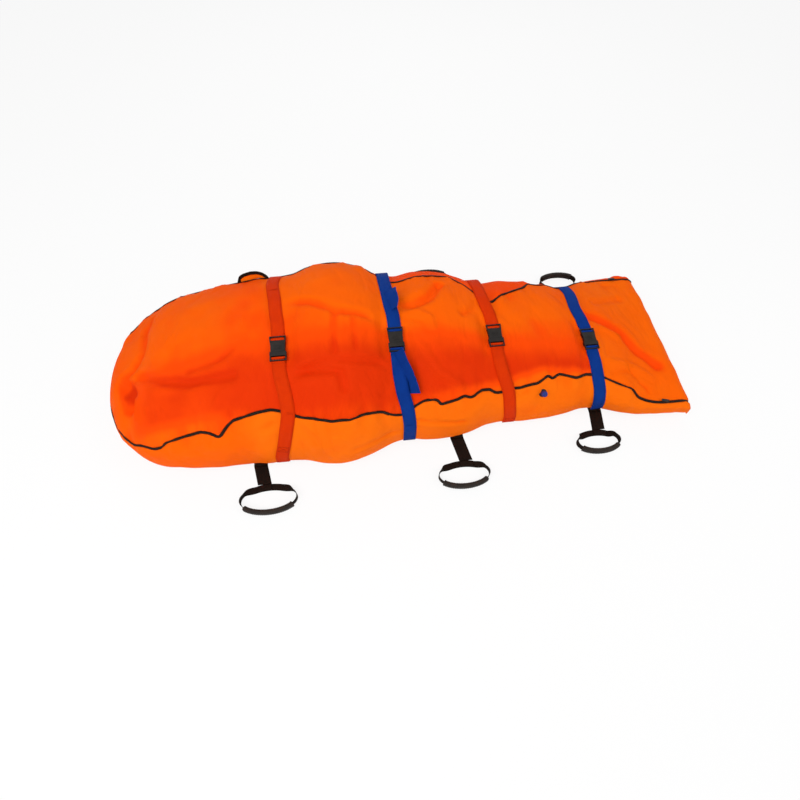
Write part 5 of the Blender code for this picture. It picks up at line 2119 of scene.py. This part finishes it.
@dataclass
class Buckles:
    """The four side-release buckles, narrowed at the waist, with rounded edges and ribbed faces."""

    wardrobe: Wardrobe
    form: BagForm
    socket_waist: float = 0.14
    tongue_waist: float = 0.0
    half_length: float = 0.044
    edge: float = 0.0009
    rib: Place3 = (0.0230, 0.0011, 0.0007)
    rib_places: tuple[float, ...] = (-0.0035, -0.0005, 0.0025, 0.0055, 0.0085, 0.0115)

    def waisted(self, node: str, axes: Matrix, waist: float) -> bmesh.types.BMesh:
        """A copy of one part of a buckle, cut across and drawn in along its middle.

        Args:
            node: The CAD solid's name.
            axes: The buckle's axes.
            waist: Share by which its middle is drawn in.

        Returns:
            The copy, in the world.
        """
        shape = copied(node, axes)
        for step in range(-7, 8):
            faces = [*shape.verts, *shape.edges, *shape.faces]
            bmesh.ops.bisect_plane(shape, geom=faces, dist=1e-5, plane_co=(0.0, step * 0.005, 0.0),
                                   plane_no=(0.0, 1.0, 0.0))
        for vert in shape.verts:
            share = min(abs(vert.co.y) / self.half_length, 1.0)
            vert.co.x *= 1 - waist * math.cos(math.pi / 2 * share) ** 2
        shape.transform(axes)
        return shape

    def ribs(self, k: int, axes: Matrix) -> bpy.types.Object:
        """Grip ribs on the socket's face.

        Args:
            k: Which one, from 0.
            axes: The buckle's axes.

        Returns:
            The piece.
        """
        flat = copied(f"buckle_socket_{k + 1}", axes)
        top = max(vert.co.z for vert in flat.verts)
        flat.free()
        shape = bmesh.new()
        for y in self.rib_places:
            place = Matrix.Translation((0.0, y, top + self.rib[2] / 4)) @ Matrix.Diagonal((*self.rib, 1.0))
            bmesh.ops.create_cube(shape, size=1.0, matrix=axes @ place)
        bmesh.ops.bevel(shape, geom=shape.edges, offset=0.0002, offset_type="OFFSET", segments=1, profile=0.5,
                        affect="EDGES", material=-1)
        return piece_from(f"buckle_ribs_{k + 1}", shape, smooth=False)

    def build(self) -> list[bpy.types.Object]:
        """Make every buckle's parts.

        Returns:
            The pieces.
        """
        made = []
        for k in range(len(STRAP_X)):
            axes = self.form.seat(k)
            parts = ((f"buckle_socket_{k + 1}", "bag"), (f"buckle_tongue_{k + 1}", f"tongue_{k + 1}"),
                     (f"prong_head_{k + 1}", f"head_prong_{k + 1}"),
                     (f"prong_foot_{k + 1}", f"foot_prong_{k + 1}"))
            for node, body in parts:
                waist = self.socket_waist if body == "bag" else self.tongue_waist
                piece = piece_from(f"{node}_moulded", self.waisted(node, axes, waist))
                bevelled(piece, self.edge, 3)
                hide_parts(node)
                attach(piece, body)
                made.append(piece)
            ribs = self.ribs(k, axes)
            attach(ribs, "bag")
            made.append(ribs)
        for piece in made:
            self.wardrobe.dress(piece, "black_plastic")
        return made


@dataclass
class Hardware:
    """The valve, the zip sliders and their pulls, with rounded edges."""

    wardrobe: Wardrobe
    parts: tuple[tuple[str, str, str, float], ...] = (
        ("valve_body", "bag", "black_plastic", 0.0006), ("valve_cap", "cap", "blue_plastic", 0.0009),
        ("valve_stem", "stem", "metal", 0.0003), ("zip_slider_near", "slider_near", "metal", 0.0005),
        ("zip_slider_far", "slider_far", "metal", 0.0005), ("zip_pull_near", "pull_near", "metal", 0.0003),
        ("zip_pull_far", "pull_far", "metal", 0.0003))

    def build(self) -> list[bpy.types.Object]:
        """Make a rounded copy of each part.

        Returns:
            The pieces.
        """
        made = []
        for node, body, finish, edge in self.parts:
            piece = piece_from(f"{node}_rounded", copied(node))
            bevelled(piece, edge, 2)
            self.wardrobe.dress(piece, finish)
            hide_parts(node)
            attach(piece, body)
            made.append(piece)
        return made


@dataclass
class Filling:
    """The mattress in the bag: its skin and the beads in it, drawn in from the bag's cloth."""

    wardrobe: Wardrobe
    parts: tuple[tuple[str, str], ...] = (("mattress_envelope", "envelope_film"), ("mattress_beads", "beads"))
    middle: Place3 = (0.0, 0.0, 0.13)
    shares: Place3 = (0.985, 0.950, 0.950)

    def build(self) -> list[bpy.types.Object]:
        """Make both pieces.

        Returns:
            The pieces.
        """
        made = []
        middle = Matrix.Translation(self.middle)
        for node, finish in self.parts:
            shape = copied(node)
            shape.transform(middle @ Matrix.Diagonal((*self.shares, 1.0)) @ middle.inverted())
            piece = piece_from(f"{node}_soft", shape)
            self.wardrobe.dress(piece, finish)
            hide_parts(node)
            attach(piece, "bag")
            made.append(piece)
        return made


# Loose webbing and the flap at the rim


@dataclass
class LooseEnds:
    """The two loose tails of strap 2 and the small flap that stands at the far rim by the head."""

    wardrobe: Wardrobe
    tree: BVHTree
    zip_line: list[Vector]
    width: float = 0.044
    thickness: float = 0.0016
    step: float = 0.006
    flap_from: float = -0.603
    flap_to: float = -0.485
    flap_height: float = 0.030
    flap_fullness: float = 0.80
    far_tail: tuple[Place3, ...] = ((-0.028, 0.098, 0.385), (-0.026, 0.064, 0.394), (-0.022, 0.030, 0.398),
                                    (-0.026, 0.000, 0.393))
    far_leans: tuple[float, ...] = (0.5, 0.85, 1.0, 1.0)
    near_tail: tuple[Place3, ...] = ((-0.026, -0.160, 0.370), (-0.016, -0.192, 0.358), (-0.003, -0.224, 0.338),
                                     (0.011, -0.254, 0.310), (0.017, -0.279, 0.284))
    near_leans: tuple[float, ...] = (0.9, 1.0, 0.9, 0.7, 0.4)

    def tail(self, name: str, body: str, places: Sequence[Place3], leans: Sequence[float]) -> bpy.types.Object:
        """One loose tail of webbing with rounded edges.

        Args:
            name: The piece's name.
            body: The body that it moves with.
            places: Points that it passes.
            leans: Its twist at each point, in radians.

        Returns:
            The tail.
        """
        points = smoothed(even([Vector(place) for place in places], self.step), 3)
        band = Ribbon(self.width, self.thickness)
        last = len(points) - 1
        for k, point in enumerate(points):
            share = k / last * (len(leans) - 1)
            low = min(int(share), len(leans) - 2)
            lean = leans[low] + (leans[low + 1] - leans[low]) * (share - low)
            band.add(point, self.tree.find_nearest(point)[1], lean)
        length = lengths_along(band.places)[-1]
        piece = band.piece(name, 0.0004)
        self.wardrobe.dress(piece, "blue_webbing")
        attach(piece, body)
        return piece

    def flap(self) -> list[bpy.types.Object]:
        """The flap of orange cloth with its black edge.

        Returns:
            The cloth and the edge.
        """
        rim = [point for point in self.zip_line if self.flap_from <= point.x <= self.flap_to and point.y > 0]
        rim = smoothed(even(sorted(rim, key=lambda point: point.x), self.step), 2)
        last = len(rim) - 1

        def edge(u: float, v: float) -> Vector:
            """The point at shares along the flap and up it.

            Args:
                u: First share.
                v: Second share.

            Returns:
                The point.
            """
            foot = rim[round(u * last)]
            near, off, _, _ = self.tree.find_nearest(foot + Vector((0.0, 0.010, -0.004)))
            up = (off * 0.55 + Z_AXIS).normalized()
            height = self.flap_height * math.sin(math.pi * u ** 0.75) ** 0.5
            return near + off * 0.0016 + up * (height * v) + off * (0.004 * math.sin(math.pi * v) * height / 0.03)

        def flat(u: float, v: float) -> tuple[float, float]:
            """The flat place at the same shares."""
            return u * last * self.step, v * self.flap_height

        cloth = piece_from("rim_flap", grid(last, 6, edge, flat))
        thicken(cloth, 0.0012, 0.0)
        self.wardrobe.dress(cloth, "cover_fabric")
        band = Ribbon(0.013, 0.0020)
        for k in range(last + 1):
            top, below = edge(k / last, 1.0), edge(k / last, 0.6)
            band.add(top - (top - below) * 0.10, Vector((0.0, -0.95, 0.31)).normalized())
        trim = band.piece("rim_flap_edge", 0.0004)
        self.wardrobe.dress(trim, "zip_tape")
        for piece in (cloth, trim):
            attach(piece, "bag")
        return [cloth, trim]

    def build(self) -> list[bpy.types.Object]:
        """Make the tails and the flap."""
        return [self.tail("strap_tail_far_2", "bag", self.far_tail, self.far_leans),
                self.tail("strap_tail_near_2", "tongue_2", self.near_tail, self.near_leans), *self.flap()]


# Room, light and camera

FLOOR_GLOW = 0.87
ROOM_LIGHT = 0.42
LAMPS = (
    ("key", (-1.4, -1.6, 2.8), (0.0, 0.0, 0.2), 2.4, 66.0),
    ("fill", (2.2, -1.2, 2.2), (0.2, 0.0, 0.2), 2.4, 24.0),
    ("rear", (0.3, 2.6, 2.2), (0.0, 0.0, 0.2), 2.6, 16.0),
)


def set_floor() -> None:
    """The pale floor, nearly as bright as the background, which keeps the shadow."""
    shape = bmesh.new()
    bmesh.ops.create_grid(shape, x_segments=1, y_segments=1, size=9.0)
    floor = piece_from("floor", shape, smooth=False)
    made, graph, shader = new_material("floor_paper")
    shader.inputs["Base Color"].default_value = (0.95, 0.95, 0.95, 1.0)
    shader.inputs["Roughness"].default_value = 0.9
    shader.inputs["Specular IOR Level"].default_value = 0.1
    share = graph.math("MULTIPLY", graph.add("LightPath").outputs["Is Camera Ray"], FLOOR_GLOW)
    graph.mix(share, shader, graph.add("Emission"), "Material Output")
    floor.data.materials.append(made)


def set_world() -> None:
    """Plain soft light all round, seen as white by the camera and in reflections."""
    world = bpy.data.worlds.new("room")
    bpy.context.scene.world = world
    world.use_nodes = True
    graph = Graph(world.node_tree)
    plain = world.node_tree.nodes["Background"]
    plain.inputs["Color"].default_value = WHITE
    plain.inputs["Strength"].default_value = ROOM_LIGHT
    white = graph.add("Background", {"Color": WHITE, "Strength": 1.0})
    rays = graph.add("LightPath").outputs
    seen = graph.math("MAXIMUM", rays["Is Camera Ray"], rays["Is Glossy Ray"])
    graph.mix(graph.math("MAXIMUM", seen, rays["Is Transmission Ray"]), plain, white, "World Output")


def add_lamp(name: str, place: Place3, aim: Place3, size: float, power: float) -> None:
    """A square soft lamp.

    Args:
        name: The lamp's name.
        place: Where it hangs.
        aim: The point that it faces.
        size: Its side in metres.
        power: Its power in watts.
    """
    light = bpy.data.lights.new(name, "AREA")
    light.size = size
    light.energy = power
    lamp = bpy.data.objects.new(name, light)
    lamp.location = place
    lamp.rotation_euler = (Vector(aim) - Vector(place)).to_track_quat("-Z", "Y").to_euler()
    bpy.context.scene.collection.objects.link(lamp)


def set_camera() -> None:
    """The camera at the photograph's angle."""
    right = Vector((0.9935, -0.1132, 0.0119)).normalized()
    back = Vector((-0.0664, -0.4910, 0.8686))
    back = (back - right * back.dot(right)).normalized()
    turn = Matrix((right, back.cross(right), back)).transposed().to_4x4()
    lens = bpy.data.cameras.new("camera")
    lens.sensor_width = 36.0
    lens.lens = 21.375
    camera = bpy.data.objects.new("camera", lens)
    camera.matrix_world = Matrix.Translation((-0.1413, -1.0739, 1.6549)) @ turn
    bpy.context.scene.collection.objects.link(camera)
    bpy.context.scene.camera = camera


def main() -> None:
    """Build and dress the whole stretcher."""
    logging.basicConfig(level=logging.INFO)
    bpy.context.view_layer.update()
    bpy.context.scene.view_settings.view_transform = "Standard"
    wardrobe = Wardrobe()
    set_camera()
    set_floor()
    set_world()
    for lamp in LAMPS:
        add_lamp(*lamp)
    shell = BagShell(wardrobe, BagForm())
    for piece in shell.build():
        log.info("made %s", piece.name)
    for maker in (CrossStraps(wardrobe, shell.form, shell.tree), ZipLine(wardrobe, shell.tree, shell.zip_line),
                  Handles(wardrobe, shell.form), Buckles(wardrobe, shell.form), Hardware(wardrobe),
                  Filling(wardrobe), LooseEnds(wardrobe, shell.tree, shell.zip_line)):
        for piece in maker.build():
            log.info("made %s", piece.name)


if __name__ == "__main__":
    main()
